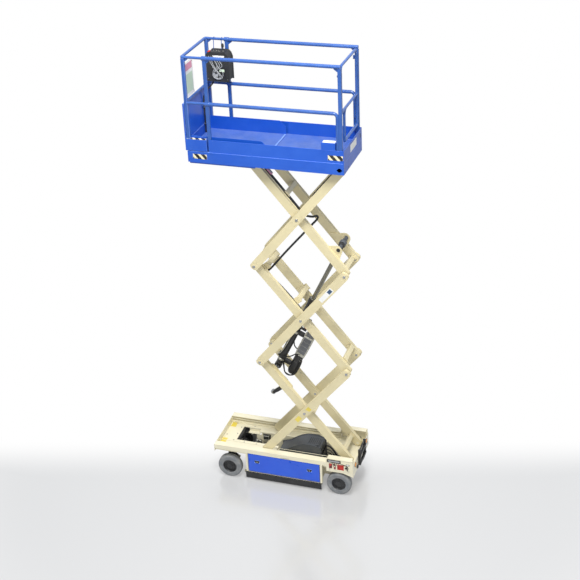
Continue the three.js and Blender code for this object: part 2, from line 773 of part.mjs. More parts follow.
const [barrelX, barrelZ] = onInner(0, barrelPinAlong, 0, angle);
const [eyeX, eyeZ] = onInner(2, rodPinAlong, rodPinAbove, angle);
const liftLength = liftSpan(angle);
const liftStroke = liftLength - liftSpan(rad(foldedAngle));
const ram = new THREE.Group();
ram.position.set(barrelX, 0, barrelZ);
ram.rotation.y = -Math.atan2(eyeZ - barrelZ, eyeX - barrelX);
lift.add(ram);
{
  const eye = bar("y", 46, -34, 34, 0, 0, 20);
  const tube = bar("x", barrelRadius, 30, barrelLength, 0, 0, 20);
  const gland = bar("x", barrelRadius + 7, barrelLength - 50, barrelLength, 0, 0, 20);
  const rodBore = bar("x", rodRadius + pinGap, boreStart, barrelLength + 1, 0, 0, 20);
  const pinBore = bar("y", liftPinRadius + pinGap, -40, 40, 0, 0, 20);
  const motorBelow = pumpOffset - motorRadius - seatGap;
  const saddles = [
    box(90, 130, -30, 30, 20, motorBelow),
    box(560, 600, -30, 30, 20, tankBelow - seatGap),
  ];
  piece("lift_cylinder_barrel", cut(fuse(eye, tube, gland, saddles), pinBore, rodBore), black, ram);
  // The rod reaches well into the barrel, and its eye carries the cross pin.
  const rod = bar("x", rodRadius, boreStart + liftStroke + 12, liftLength - 30, 0, 0, 16);
  const rodEye = bar("y", 44, -32, 32, liftLength, 0, 20);
  const pinReach = innerLane - gussetThickness - 1;
  const crossPin = bar("y", 24, -pinReach, pinReach, liftLength, 0, 16);
  piece("lift_cylinder_rod", fuse(rod, rodEye, crossPin), steel, ram);
  // The pump motor and the oil tank ride beside the barrel.
  const motor = bar("x", motorRadius, 5, 300, 0, pumpOffset, 20);
  const motorCap = bar("x", 40, -16, 6, 0, pumpOffset, 20);
  piece("pump_motor", fuse(motor, motorCap), black, ram);
  const tank = box(300 + seatGap, 620, -66, 66, tankBelow, 250);
  piece("oil_tank", tank, greyPlastic, ram);
}

// ---- Platform -------------------------------------------------------------------------------------

function platformFrame() {
  const t = platformPlate;
  const front = platformFront - 20;
  const parts = [];
  parts.push(box(platformRear, front, -halfWidth + 1, halfWidth - 1, deckZ - t, deckZ));
  parts.push(box(platformRear, platformRear + t, -halfWidth, halfWidth, skirtBottom, toeTop));
  parts.push(box(front - t, front, -halfWidth, halfWidth, skirtBottom + 30, deckZ));
  for (const side of [1, -1]) {
    const [a, b] = span(side, halfWidth - t, halfWidth);
    parts.push(box(platformRear, front, a, b, skirtBottom, deckZ));
    const [toeA, toeB] = span(side, halfWidth - t - toeInset, halfWidth - toeInset);
    parts.push(box(platformRear, mainPostX + 10, toeA, toeB, deckZ - 1, toeTop));
    // Return flange along the skirt's lower edge.
    const [c, d] = span(side, halfWidth - 26, halfWidth);
    parts.push(box(platformRear, front, c, d, skirtBottom, skirtBottom + 5));
    // Roller track for the third stage's inner arms.
    const [e, f] = span(side, trackFace, trackWeb + t);
    const [g, h] = span(side, trackFace - 1, trackWeb);
    const from = 160;
    const track = box(from, front - t + 1, e, f, topPinZ - trackHalf - t, deckZ - 1);
    parts.push(cut(track, box(from - 1, front - t, g, h, topPinZ - trackHalf, topPinZ + trackHalf)));
    // Ear and pin of the fixed upper pivot.
    const [k, m] = span(side, trackFace, trackFace + 14);
    const ear = [
      [basePinX - 36, deckZ - 1],
      [basePinX - 30, topPinZ - 20],
      [basePinX - 14, topPinZ - 32],
      [basePinX + 14, topPinZ - 32],
      [basePinX + 30, topPinZ - 20],
      [basePinX + 80, deckZ - 1],
    ];
    parts.push(slabY(ear, k, m));
    const [p, q] = span(side, outerLane + 1, trackFace + 2);
    parts.push(bar("y", pinRadius, p, q, basePinX, topPinZ));
  }
  // The closed box for the manual, on the floor inside the left toe board.
  const boxOuter = halfWidth - toeInset - 1;
  parts.push(box(-800, -640, boxOuter - 90, boxOuter, deckZ - 1, toeTop + 80));
  // Shallow stiffeners under the floor.
  for (const x of [-500, -120, 260, 640]) {
    parts.push(box(x, x + 40, -halfWidth + t, halfWidth - t, deckZ - 34, deckZ - 1));
  }
  return fuse(parts);
}
piece("platform_deck", platformFrame(), blue);

bothSides((side, word) => {
  const y = side * railY;
  const low = deckZ + seatGap;
  const railEnd = mainPostX - 20;
  const hollow = (z, from, to) => [
    bar("x", railRadius, from, to, y, z, 12),
    bar("x", railRadius - railWall, from + 60, to + 1, y, z, 12),
  ];
  const [top, topBore] = hollow(topRailZ, rearPostX - 15, railEnd);
  const [mid, midBore] = hollow(midRailZ, rearPostX + 60, railEnd);
  const wrap = railRadius + 4;
  const sleeve = (z) => bar("x", wrap, mainPostX - 26, mainPostX + 26, y, z, 12);
  const through = (z) => bar("x", railRadius - railWall, mainPostX - 30, mainPostX + 30, y, z, 12);
  const inside = halfWidth - toeInset - platformPlate - seatGap;
  const [py0, py1] = span(side, railY - 17, inside);
  const posts = [mainPostX, rearPostX].map((x) => box(x - 20, x + 20, py0, py1, low, topRailZ));
  const bend = pipe(
    [
      [rearPostX + 61, y, midRailZ],
      [rearPostX + 34, y, midRailZ],
      [rearPostX + 34, y, midRailZ - 80],
      [rearPostX + 34, y, toeTop + 20],
    ],
    railRadius - 2,
    26,
  );
  // Lugs and pins of the entry gate's hinge, on the right rear post only.
  const lugs = gateLugs.flatMap((z) => [
    box(rearPostX + 14, gateHingeX + 10, gateHingeY - 22, gateHingeY + 3, z, z + 10),
    bar("z", 5, z + 5, z + 40, gateHingeX, gateHingeY, 10),
  ]);
  const rails = [posts, top, mid, sleeve(topRailZ), sleeve(midRailZ), bend];
  const whole = fuse(rails, side < 0 ? lugs : []);
  piece(`${word}_guardrail`, cut(whole, topBore, midBore, through(topRailZ), through(midRailZ)), blue);
});

// Entry gate across the rear, hung on the right post's lugs and latched on the left one.
{
  const x = rearPostX;
  const reach = railY - 17 - 8;
  const legs = reach - gateTube;
  // The lower part stops short of the latch post, and so swings past the box for the manual.
  const lowerLeg = legs - 110;
  const frame = pipe(
    [
      [x, -legs, gateBottom],
      [x, -legs, topRailZ - 8],
      [x, legs, topRailZ - 8],
      [x, legs, midRailZ - gateTube],
    ],
    gateTube,
    60,
    8,
  );
  const bottom = bar("y", gateTube, -legs, lowerLeg, x, gateBottom, 10);
  const upper = bar("y", gateTube, lowerLeg - 80, legs, x, midRailZ, 8);
  const middle = pipe(
    [
      [x, -legs, midRailZ],
      [x, lowerLeg, midRailZ],
      [x, lowerLeg, gateBottom],
    ],
    gateTube,
    70,
    8,
  );
  const knuckles = gateLugs.map((z) =>
    cut(
      fuse(
        bar("z", 9, z + 10 + seatGap, z + 44, gateHingeX, gateHingeY),
        box(x - 4, gateHingeX, gateHingeY - 7, gateHingeY + 7, z + 10 + seatGap, z + 44),
      ),
      bar("z", 5 + pinGap, z, z + 45, gateHingeX, gateHingeY, 10),
    ),
  );
  piece("entry_gate", fuse(frame, bottom, upper, middle, knuckles), blue);
}

// Slide-out extension: deck, toe boards, front panel and the inner rails in the main rails.
{
  const t = 4;
  const floor = deckZ + 8;
  const front = platformFront;
  const inY = railY - 17 - 8;
  const parts = [];
  parts.push(box(extensionDeckRear, front - 2, -inY, inY, floor, floor + t));
  parts.push(box(front - 20 + 0.4, front, -halfWidth, halfWidth, deckZ + 5, midRailZ - 10));
  parts.push(box(front - 60, front - 1, -inY, inY, floor, floor + t));
  for (const side of [1, -1]) {
    const [a, b] = span(side, inY - t, inY);
    const toe = [
      [extensionDeckRear, floor],
      [front - 10, floor],
      [front - 10, toeTop + 22],
      [extensionDeckRear + 70, toeTop + 22],
      [extensionDeckRear, toeTop - 50],
    ];
    parts.push(slabY(toe, a, b));
    // The corner housing over the main skirt, ahead of the main toe board.
    const [c, d] = span(side, inY - 1, halfWidth);
    parts.push(box(mainPostX + 32, front - 1, c, d, deckZ + 6, toeTop));
    // Slide pads that run on the main floor.
    for (const x of [extensionDeckRear + 4, mainPostX - 60]) {
      const [e, f] = span(side, inY - 60, inY - 20);
      parts.push(box(x, x + 46, e, f, deckZ + seatGap, floor + 1));
    }
    const y = side * railY;
    const corner = box(front - 62, front - 22, y - 17, y + 17, toeTop - 1, topRailZ);
    parts.push(corner);
    for (const z of [topRailZ, midRailZ]) {
      parts.push(bar("x", innerRailRadius, mainPostX - extensionStroke - 60, front - 20, y, z, 12));
    }
  }
  parts.push(bar("y", innerRailRadius, -railY, railY, front - 30, topRailZ, 12));
  parts.push(bar("y", innerRailRadius, -railY, railY, front - 30, midRailZ, 12));
  piece("extension_deck", fuse(parts), blue);
}

// Platform control box, hooked over the extension's right rail.
{
  const back = -railY + innerRailRadius + seatGap;
  const y = back + 12;
  const outline = [
    [610, topRailZ - 440],
    [880, topRailZ - 440],
    [885, topRailZ - 180],
    [850, topRailZ - 112],
    [645, topRailZ - 112],
    [610, topRailZ - 180],
  ];
  const over = topRailZ + innerRailRadius + seatGap;
  const hooks = [724, 820].map((x) => [
    box(x, x + 24, back, y + 2, topRailZ - 170, over + 4),
    box(x, x + 24, back - innerRailRadius - 6, y + 2, over, over + 4),
  ]);
  piece("platform_control_box", fuse(slabY(outline, y, y + 150), hooks), black);
}

export default lift;
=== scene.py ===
import json
import math

import bmesh
import bpy
from mathutils import Matrix, Vector


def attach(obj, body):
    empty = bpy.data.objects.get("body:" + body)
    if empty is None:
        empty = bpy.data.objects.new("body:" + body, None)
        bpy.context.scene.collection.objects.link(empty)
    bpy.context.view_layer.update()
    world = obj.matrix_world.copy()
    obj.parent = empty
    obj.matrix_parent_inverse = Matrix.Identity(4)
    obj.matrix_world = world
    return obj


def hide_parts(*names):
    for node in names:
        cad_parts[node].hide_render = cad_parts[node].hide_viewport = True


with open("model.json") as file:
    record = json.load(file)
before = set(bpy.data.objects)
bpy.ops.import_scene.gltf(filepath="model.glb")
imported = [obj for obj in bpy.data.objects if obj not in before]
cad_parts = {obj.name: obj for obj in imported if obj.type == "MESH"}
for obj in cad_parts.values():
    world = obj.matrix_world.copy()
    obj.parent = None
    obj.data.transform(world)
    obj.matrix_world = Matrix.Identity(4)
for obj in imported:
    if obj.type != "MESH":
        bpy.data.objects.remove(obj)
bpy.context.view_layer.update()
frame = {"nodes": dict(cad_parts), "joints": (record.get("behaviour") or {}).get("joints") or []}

# ---- Camera, light and floor -----------------------------------------------------------------------

PHOTO_PIXELS = 580
FOCAL_PIXELS = 1224.49
SENSOR_MM = 36
WHITE = (1, 1, 1, 1)
FLOOR_EVENED = 0.40  # the share of the floor's own tone that the camera sees evened out


def linear(red, green, blue):
    """An sRGB colour, 0 to 255, as the linear colour that a shader takes."""
    parts = [v / 255 for v in (red, green, blue)]
    return tuple(v / 12.92 if v <= 0.04045 else ((v + 0.055) / 1.055) ** 2.4 for v in parts) + (1,)


def make_camera():
    """The photograph's view: a long lens from the front left, above the platform."""
    azimuth, elevation, roll = (math.radians(v) for v in (-70.76, -28.5, -2.61))
    flat = math.cos(elevation)
    forward = Vector((flat * math.cos(azimuth), flat * math.sin(azimuth), math.sin(elevation)))
    level = forward.cross(Vector((0, 0, 1))).normalized()
    rise = level.cross(forward)
    right = level * math.cos(roll) + rise * math.sin(roll)
    up = rise * math.cos(roll) - level * math.sin(roll)
    turn = Matrix((right, up, -forward)).transposed().to_4x4()
    data = bpy.data.cameras.new("view")
    data.sensor_width = SENSOR_MM
    data.lens = FOCAL_PIXELS / PHOTO_PIXELS * SENSOR_MM
    data.clip_end = 200
    camera = bpy.data.objects.new("view", data)
    camera.matrix_world = Matrix.Translation((-4.3845, 12.35, 9.7979)) @ turn
    bpy.context.scene.collection.objects.link(camera)
    bpy.context.scene.camera = camera


def area_light(name, place, target, size, power, mirrored=True):
    data = bpy.data.lights.new(name, "AREA")
    data.shape = "DISK"
    data.size = size
    data.energy = power
    light = bpy.data.objects.new(name, data)
    light.location = place
    light.rotation_euler = (Vector(target) - Vector(place)).to_track_quat("-Z", "Y").to_euler()
    light.visible_glossy = mirrored
    bpy.context.scene.collection.objects.link(light)


class Nodes:
    """The emptied node tree of a material or a world."""

    def __init__(self, owner):
        owner.use_nodes = True
        self.tree = owner.node_tree
        self.tree.nodes.clear()

    def add(self, kind, inputs=None, **settings):
        """A new node's outputs. An input is a value, or another node's output to link."""
        node = self.tree.nodes.new("ShaderNode" + kind)
        for key, value in settings.items():
            setattr(node, key, value)
        for key, value in (inputs or {}).items():
            if isinstance(value, bpy.types.NodeSocket):
                self.tree.links.new(value, node.inputs[key])
            else:
                node.inputs[key].default_value = value
        return node.outputs


def make_world():
    """Soft light that the camera sees as white, and that reflections see as a brighter room."""
    world = bpy.data.worlds.new("studio")
    bpy.context.scene.world = world
    net = Nodes(world)
    rays = net.add("LightPath")
    strength = net.add("MapRange", {"Value": rays["Is Glossy Ray"], "To Min": 0.50, "To Max": 0.95})
    soft = net.add("Background", {"Color": (0.93, 0.96, 1.0, 1), "Strength": strength["Result"]})
    seen = net.add("Background", {"Color": WHITE})
    direct = net.add("Math", {0: rays["Is Camera Ray"], 1: rays["Is Transmission Ray"]}, operation="MAXIMUM")
    mix = net.add("MixShader", {0: direct[0], 1: soft[0], 2: seen[0]})
    net.add("OutputWorld", {"Surface": mix[0]})


def make_floor():
    """A pale, slightly glossy floor that fades to white behind the machine and far from it."""
    reach = 60.0
    mesh = bpy.data.meshes.new("floor")
    corners = [(-reach, -reach, 0), (reach, -reach, 0), (reach, reach, 0), (-reach, reach, 0)]
    mesh.from_pydata(corners, [], [(0, 1, 2, 3)])
    floor = bpy.data.objects.new("floor", mesh)
    bpy.context.scene.collection.objects.link(floor)
    finish = bpy.data.materials.new("pale_floor")
    mesh.materials.append(finish)

    net = Nodes(finish)
    seen = net.add("LightPath")["Is Camera Ray"]
    place = net.add("NewGeometry")["Position"]
    lit = net.add("BsdfPrincipled", {"Base Color": (0.60, 0.60, 0.60, 1), "Roughness": 0.16, "IOR": 2.5})
    even = net.add("Emission", {"Color": linear(232, 232, 232)})
    share = net.add("Math", {0: seen, 1: FLOOR_EVENED}, operation="MULTIPLY")
    near = net.add("MixShader", {0: share[0], 1: lit[0], 2: even[0]})
    behind = net.add("VectorMath", {0: place, 1: (0.2582, -0.9661, 0)}, operation="DOT_PRODUCT")["Value"]
    away = net.add("VectorMath", {0: place}, operation="LENGTH")["Value"]
    fades = [net.add("MapRange", {"Value": distance, "From Min": start, "From Max": end},
                     interpolation_type="SMOOTHSTEP")["Result"] for distance, start,
             end in ((behind, -0.25, 0.65), (away, 3.2, 6.5))]
    most = net.add("Math", {0: fades[0], 1: fades[1]}, operation="MAXIMUM")
    white = net.add("Math", {0: most[0], 1: seen}, operation="MULTIPLY")
    far = net.add("Emission", {"Color": WHITE})
    mix = net.add("MixShader", {0: white[0], 1: near[0], 2: far[0]})
    net.add("OutputMaterial", {"Surface": mix[0]})


bpy.context.scene.view_settings.view_transform = "Standard"
make_camera()
make_world()
make_floor()
area_light("key", (-1.5, 4.0, 12.0), (0, 0, 2.6), 4.0, 1150)
area_light("fill", (-4.5, 9.0, 4.5), (0, 0, 2.6), 5.0, 170, mirrored=False)
area_light("back", (2.0, -8.0, 7.0), (0, 0, 2.8), 5.0, 240, mirrored=False)

# ---- Materials -------------------------------------------------------------------------------------

BLACK = (0, 0, 0, 1)


def shade(color, factor):
    return tuple(min(1.0, v * factor) for v in color[:3]) + (1,)


def surface(name, color, roughness=0.4, metallic=0.0, patches=0.08, patch_scale=4.0, grain=900.0,
            grain_depth=0.0002, grain_strength=0.25, dust=None, dust_amount=0.0, wear=None, coat=0.0,
            stretch=None):
    """A procedural finish: uneven colour, dust in broad patches, small worn chips, and a fine bump.
    Colours are sRGB, 0 to 255."""
    made = bpy.data.materials.new(name)
    net = Nodes(made)
    source = net.add("TexCoord")["Object"]
    if stretch:
        source = net.add("Mapping", {"Vector": source, "Scale": stretch})["Vector"]

    def noise(scale, detail=4.0):
        return net.add("TexNoise", {"Vector": source, "Scale": scale, "Detail": detail})["Fac"]

    def ramp(value, stops):
        node = net.tree.nodes.new("ShaderNodeValToRGB")
        points = node.color_ramp.elements
        while len(points) < len(stops):
            points.new(0.5)
        for point, (at, tint) in zip(points, stops):
            point.position = at
            point.color = tint
        net.tree.links.new(value, node.inputs["Fac"])
        return node.outputs["Color"]

    def blend(mask, first, second, amount):
        factor = net.add("Math", {0: mask, 1: amount}, operation="MULTIPLY")[0]
        return net.add("Mix", {"Factor": factor, "A": first, "B": linear(*second)},
                       data_type="RGBA")["Result"]

    tint = linear(*color)
    stops = [(0.3, shade(tint, 1 - patches)), (0.52, tint), (0.75, shade(tint, 1 + patches * 0.6))]
    base = ramp(noise(patch_scale), stops)
    if dust:
        spots = ramp(noise(patch_scale * 1.9, 7.0), [(0.36, BLACK), (0.84, WHITE)])
        base = blend(spots, base, dust, dust_amount)
    if wear:
        chips = ramp(noise(150.0, 5.0), [(0.67, BLACK), (0.74, WHITE)])
        base = blend(chips, base, wear, 0.5)
    gloss = net.add("MapRange", {"Value": noise(patch_scale * 6, 6.0), "To Min": max(0.04, roughness - 0.1),
                                 "To Max": min(1.0, roughness + 0.12)})
    bump = net.add("Bump", {"Strength": grain_strength, "Distance": grain_depth, "Height": noise(grain, 3.0)})
    shader = net.add("BsdfPrincipled", {"Base Color": base, "Metallic": metallic,
                                        "Roughness": gloss["Result"], "Normal": bump["Normal"],
                                        "Coat Weight": coat, "Coat Roughness": 0.15})
    net.add("OutputMaterial", {"Surface": shader[0]})
    return made


look = {"cream": surface("cream_paint", (221, 209, 168), 0.36, patches=0.04, patch_scale=2.5,
                         dust=(190, 178, 140), dust_amount=0.22, wear=(176, 164, 132), coat=0.2),
        "blue": surface("blue_paint", (22, 83, 189), 0.34, patches=0.06, patch_scale=2.5, dust=(64, 119, 212),
                        dust_amount=0.22, wear=(84, 134, 214), coat=0.35),
        # The chassis's cream: a paler, less saturated copy of the arms' cream, a painted highlight for the
        # brightly lit chassis.
        "frame": surface("chassis_cream_painted_light", (233, 226, 198), 0.36, patches=0.04, patch_scale=2.5,
                         dust=(206, 196, 166), dust_amount=0.22, wear=(180, 170, 144), coat=0.2),
        # The doors' blue: a brighter, more saturated copy of the blue paint, painted light that offsets the
        # shade the doors sit in.
        "door": surface("door_blue_painted_light", (4, 80, 212), 0.30, patches=0.06, patch_scale=2.5, dust=(46, 116, 230),
                        dust_amount=0.18, wear=(84, 134, 214), coat=0.5),
        "rust": surface("brown_casting", (138, 104, 78), 0.6, patches=0.2, patch_scale=14,
                        dust=(176, 158, 128), dust_amount=0.35), "chrome": surface("dull_chrome",
                                                                                   (136, 134, 124), 0.30, 1.0,
                                                                                   patches=0.1, grain=1400,
                                                                                   grain_strength=0.15),
        "rail": surface("rail_paint", (40, 84, 158), 0.32, patches=0.08, dust=(84, 124, 196),
                        dust_amount=0.25, wear=(120, 140, 176), coat=0.5),
        # The floor's blue: lighter and greyer than the paint, partly a painted sheen of the light from above
        # and partly dust in patches.
        "deck": surface("deck_paint_dust_and_sheen", (74, 108, 186), 0.42, patches=0.1, patch_scale=5, dust=(132, 144, 190),
                        dust_amount=0.45, wear=(150, 156, 190)), "black": surface("black_paint", (30, 30, 31),
                                                                                  0.42, patches=0.25,
                                                                                  dust=(86, 84, 80),
                                                                                  dust_amount=0.22,
                                                                                  wear=(96, 96, 98)),
        "plastic": surface("black_plastic", (34, 35, 36), 0.55, patches=0.18, grain=500, grain_strength=0.5,
                           dust=(90, 90, 88), dust_amount=0.12), "tyre": surface("grey_rubber",
                                                                                 (118, 121, 124), 0.86,
                                                                                 patches=0.1, patch_scale=9,
                                                                                 grain=420,
                                                                                 grain_depth=0.0006,
                                                                                 grain_strength=0.5,
                                                                                 dust=(172, 170, 164),
                                                                                 dust_amount=0.5),
        "hub": surface("black_wheel", (30, 31, 33), 0.4, patches=0.2, dust=(98, 96, 92), dust_amount=0.25,
                       wear=(104, 104, 106)), "steel": surface("bright_steel", (176, 178, 180), 0.24, 1.0,
                                                               patches=0.1, grain=1400, grain_strength=0.15,
                                                               stretch=(1, 1, 6)),
        "zinc": surface("zinc_plate", (186, 184, 172), 0.38, 1.0, patches=0.14, patch_scale=30, grain=1200,
                        grain_strength=0.2), "cover": surface("grey_cover", (74, 78, 84), 0.48, patches=0.12,
                                                              grain=380, grain_strength=0.45,
                                                              dust=(122, 122, 120), dust_amount=0.22),
        "tank": surface("grey_tank", (96, 98, 102), 0.5, patches=0.12, grain=420, grain_strength=0.4,
                        dust=(140, 140, 138), dust_amount=0.2), "battery": surface("battery_case",
                                                                                   (38, 39, 41), 0.6,
                                                                                   patches=0.15, grain=360,
                                                                                   grain_strength=0.5,
                                                                                   dust=(120, 118, 112),
                                                                                   dust_amount=0.3),
        "hose": surface("rubber_hose", (26, 26, 27), 0.62, patches=0.15, grain=700, grain_strength=0.6,
                        dust=(84, 82, 78), dust_amount=0.2), "white": surface("white_plate", (236, 236, 232),
                                                                              0.42, patches=0.05,
                                                                              dust=(196, 194, 186),
                                                                              dust_amount=0.2),
        "yellow": surface("yellow_decal", (226, 202, 66), 0.42, patches=0.08, dust=(232, 226, 170),
                          dust_amount=0.35), "red": surface("red_plastic", (196, 44, 34), 0.36, patches=0.1),
        # A pale blue for edges that catch the light: a painted highlight.
        "trim": surface("blue_painted_highlight", (138, 172, 240), 0.32, patches=0.06),
        "stripe": surface("label_cream", (232, 222, 186), 0.45, patches=0.05),
        "maroon": surface("label_maroon", (146, 62, 58), 0.45, patches=0.08),
        # A dark blue for holes and recesses, standing in for the shade inside them: painted shade.
        "shade_blue": surface("recess_painted_shade", (24, 58, 130), 0.45, patches=0.08),
        "nylon": surface("grey_nylon", (176, 178, 182), 0.5, patches=0.1, patch_scale=20),
        "slate": surface("label_slate", (60, 84, 112), 0.45, patches=0.05),
        "pink": surface("label_pink", (214, 150, 170), 0.45, patches=0.05),
        "mint": surface("label_mint", (196, 214, 190), 0.45, patches=0.06),
        "grey": surface("light_grey", (160, 162, 164), 0.45, patches=0.08),
        "glass": surface("lamp_glass", (232, 150, 40), 0.12, patches=0.05, grain_strength=0.05)}

# ---- Mesh building ---------------------------------------------------------------------------------

MM = 1000  # millimetres in a metre: the lengths below are in millimetres, as in the part's source
HINGES = {joint["name"]: joint for joint in frame["joints"]}


def hinge(name):
    return Vector(HINGES[name]["pos_m"]) * MM


def metres(point):
    return Vector([v / MM for v in point])


def circle(count, first=0.0):
    """The cosine and sine of each equal step round a circle."""
    turns = [2 * math.pi * (k + first) / count for k in range(count)]
    return [(math.cos(turn), math.sin(turn)) for turn in turns]


def prism(count):
    """Faces of a solid whose points are the outline of one end and then of the other."""
    sides = [(k, (k + 1) % count, (k + 1) % count + count, k + count) for k in range(count)]
    return [tuple(range(count)), tuple(range(2 * count - 1, count - 1, -1))] + sides


def rounded_path(points, bend, steps=6):
    """The points of a path whose corners are rounded to a radius."""
    at = [Vector(p) for p in points]
    path = [at[0]]
    for before, corner, after in zip(at, at[1:], at[2:]):
        into, out = (before - corner).normalized(), (after - corner).normalized()
        half = into.angle(out) / 2
        reach = min(bend / math.tan(half), 0.45 * min((before - corner).length, (after - corner).length))
        start, end = corner + into * reach, corner + out * reach
        for k in range(steps + 1):
            t = k / steps
            path.append(start * (1 - t) ** 2 + corner * 2 * t * (1 - t) + end * t ** 2)
    path.append(at[-1])
    return path


def smooth_path(points, steps=8):
    """A flowing curve through the points."""
    at = [Vector(p) for p in points]
    at = [at[0] * 2 - at[1]] + at + [at[-1] * 2 - at[-2]]
    path = []
    for a, b, c, d in zip(at, at[1:], at[2:], at[3:]):
        for k in range(steps):
            t = k / steps
            second, third = 2 * a - 5 * b + 4 * c - d, 3 * b - a - 3 * c + d
            path.append(0.5 * ((2 * b) + (c - a) * t + second * t * t + third * t ** 3))
    path.append(at[-2])
    return path


class Shape:
    """Gathers solids for one piece. Points are given in the local frame `place`."""

    def __init__(self, place=None):
        self.bm = bmesh.new()
        self.place = place or Matrix.Identity(4)
        self.looks = []

    def add(self, points, faces, finish, bevel=0.0, segments=2):
        if finish not in self.looks:
            self.looks.append(finish)
        verts = [self.bm.verts.new(metres(self.place @ Vector(p))) for p in points]
        made = [self.bm.faces.new([verts[i] for i in face]) for face in faces]
        for face in made:
            face.material_index = self.looks.index(finish)
            face.normal_update()
        if bevel:
            edges = {e for face in made for e in face.edges}
            sharp = [e for e in edges if len(e.link_faces) == 2 and e.calc_face_angle(0) > 0.6]
            bmesh.ops.bevel(self.bm, geom=sharp, offset=bevel / MM, segments=segments, profile=0.5,
                            affect="EDGES", clamp_overlap=True)

    def box(self, x, y, z, finish, bevel=1.5, segments=2):
        corners = [(a, b, c) for a in x for b in y for c in z]
        faces = [(0, 1, 3, 2), (4, 6, 7, 5), (0, 4, 5, 1), (2, 3, 7, 6), (0, 2, 6, 4), (1, 5, 7, 3)]
        self.add(corners, faces, finish, bevel, segments)

    def slab(self, outline, span, finish, bevel=1.5, segments=2, axis="y"):
        """An outline, drawn square to the Y or the X axis, between two places on that axis."""
        if axis == "y":
            points = [(a, level, b) for level in span for a, b in outline]
        else:
            points = [(level, a, b) for level in span for a, b in outline]
        self.add(points, prism(len(outline)), finish, bevel, segments)

    def turned(self, profile, start, direction, finish, sides=40, bevel=0.0, closed=False):
        """A turned solid: the profile's points are (radius, distance along the axis)."""
        axis = Vector(direction).normalized()
        side = axis.orthogonal().normalized()
        other = axis.cross(side)
        start = Vector(start)
        points, faces = [], []
        for radius, along in profile:
            points += [start + axis * along + (side * c + other * s) * radius for c, s in circle(sides)]
        rows = len(profile)
        for r in range(rows if closed else rows - 1):
            for k in range(sides):
                a, b = r * sides, ((r + 1) % rows) * sides
                faces.append((a + k, a + (k + 1) % sides, b + (k + 1) % sides, b + k))
        if not closed:
            faces.append(tuple(range(sides)))
            faces.append(tuple(range((rows - 1) * sides, rows * sides)))
        self.add(points, faces, finish, bevel)

    def rod(self, start, end, radius, finish, sides=24, chamfer=1.5):
        start, end = Vector(start), Vector(end)
        length = (end - start).length
        chamfer = min(chamfer, radius * 0.4, length * 0.3)
        profile = [(radius - chamfer, 0), (radius, chamfer), (radius, length - chamfer),
                   (radius - chamfer, length)]
        self.turned(profile, start, end - start, finish, sides)

    def tube(self, path, radius, finish, sides=16):
        """A round tube along a path of points."""
        points, faces = [], []
        side = (path[1] - path[0]).orthogonal().normalized()
        for k, at in enumerate(path):
            into = (at - path[k - 1]).normalized() if k else (path[1] - at).normalized()
            out = (path[k + 1] - at).normalized() if k < len(path) - 1 else into
            ahead = (into + out).normalized()
            side = (side - ahead * side.dot(ahead)).normalized()
            other = ahead.cross(side)
            # A bend is thickened half way to a mitre.
            wide = radius * (1 + 1 / max(0.6, into.dot(ahead))) / 2
            points += [at + (side * c + other * s) * wide for c, s in circle(sides)]
        for k in range(len(path) - 1):
            for s in range(sides):
                a, b = k * sides, (k + 1) * sides
                faces.append((a + s, a + (s + 1) % sides, b + (s + 1) % sides, b + s))
        faces.append(tuple(range(sides)))
        faces.append(tuple(range((len(path) - 1) * sides, len(path) * sides)))
        self.add(points, faces, finish)

    def ring(self, centre, normal, radius, thick, finish, sides=28, around=8):
        """A weld bead or band: a ring about a normal."""
        profile = [(radius + thick * c, thick * s) for c, s in circle(around)]
        self.turned(profile, centre, normal, finish, sides, closed=True)

    def bolt(self, at, normal, size, finish="zinc"):
        """A washer and a hexagon head on a surface."""
        at, normal = Vector(at), Vector(normal).normalized()
        self.turned([(size * 1.25, -1), (size * 1.25, size * 0.22)], at, normal, finish, 18)
        profile = [(size, size * 0.2), (size, size * 0.8), (size * 0.82, size * 0.95)]
        self.turned(profile, at, normal, finish, 6)

    def build(self, name, body, replaces=(), angle=32):
        bmesh.ops.remove_doubles(self.bm, verts=self.bm.verts, dist=1e-6)
        bmesh.ops.recalc_face_normals(self.bm, faces=self.bm.faces)
        mesh = bpy.data.meshes.new(name)
        self.bm.to_mesh(mesh)
        self.bm.free()
        for finish in self.looks:
            mesh.materials.append(look[finish])
        mesh.shade_smooth()
        mesh.set_sharp_from_angle(angle=math.radians(angle))
        piece = bpy.data.objects.new(name, mesh)
        bpy.context.scene.collection.objects.link(piece)
        even = piece.modifiers.new("even_normals", "WEIGHTED_NORMAL")
        even.keep_sharp = True
        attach(piece, body)
        if replaces:
            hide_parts(*replaces)
        return piece


def mirror(side, low, high):
    """A span of Y on the left side (+1) or the right side (-1), in rising order."""
    return (low, high) if side > 0 else (-high, -low)


SIDES = ((1, "left"), (-1, "right"))

# ---- Main places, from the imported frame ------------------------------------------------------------

PIN = hinge("lift")
RISE = (hinge("stage3_rear").z - PIN.z) / 2
RUN = hinge("stage2_front").x - PIN.x
ARM = math.hypot(RUN, RISE)
TOP = hinge("platform_pivot").z
SKIRT = TOP - 14
DECK = SKIRT + 132
TOE = DECK + 148
TOP_RAIL = DECK + 1098
MID_RAIL = DECK + 572
RAIL_Y = 355
INNER_LANE = (178, 228)
OUTER_LANE = (235, 285)
FRONT_END = 975
MAIN_POST = 680
REAR_POST = -862
BOX_BACK = -327.2
WHEEL_X = 740
AXLE_Z = 161.5
KINGPIN_Y = 240
PIVOT_Z = 337
LIP_Z = 482.5
GATE_HINGE = (-832, -326)
CROSS_MEMBERS = (-480, -100, 280, 660)

# ---- Wheels ----------------------------------------------------------------------------------------


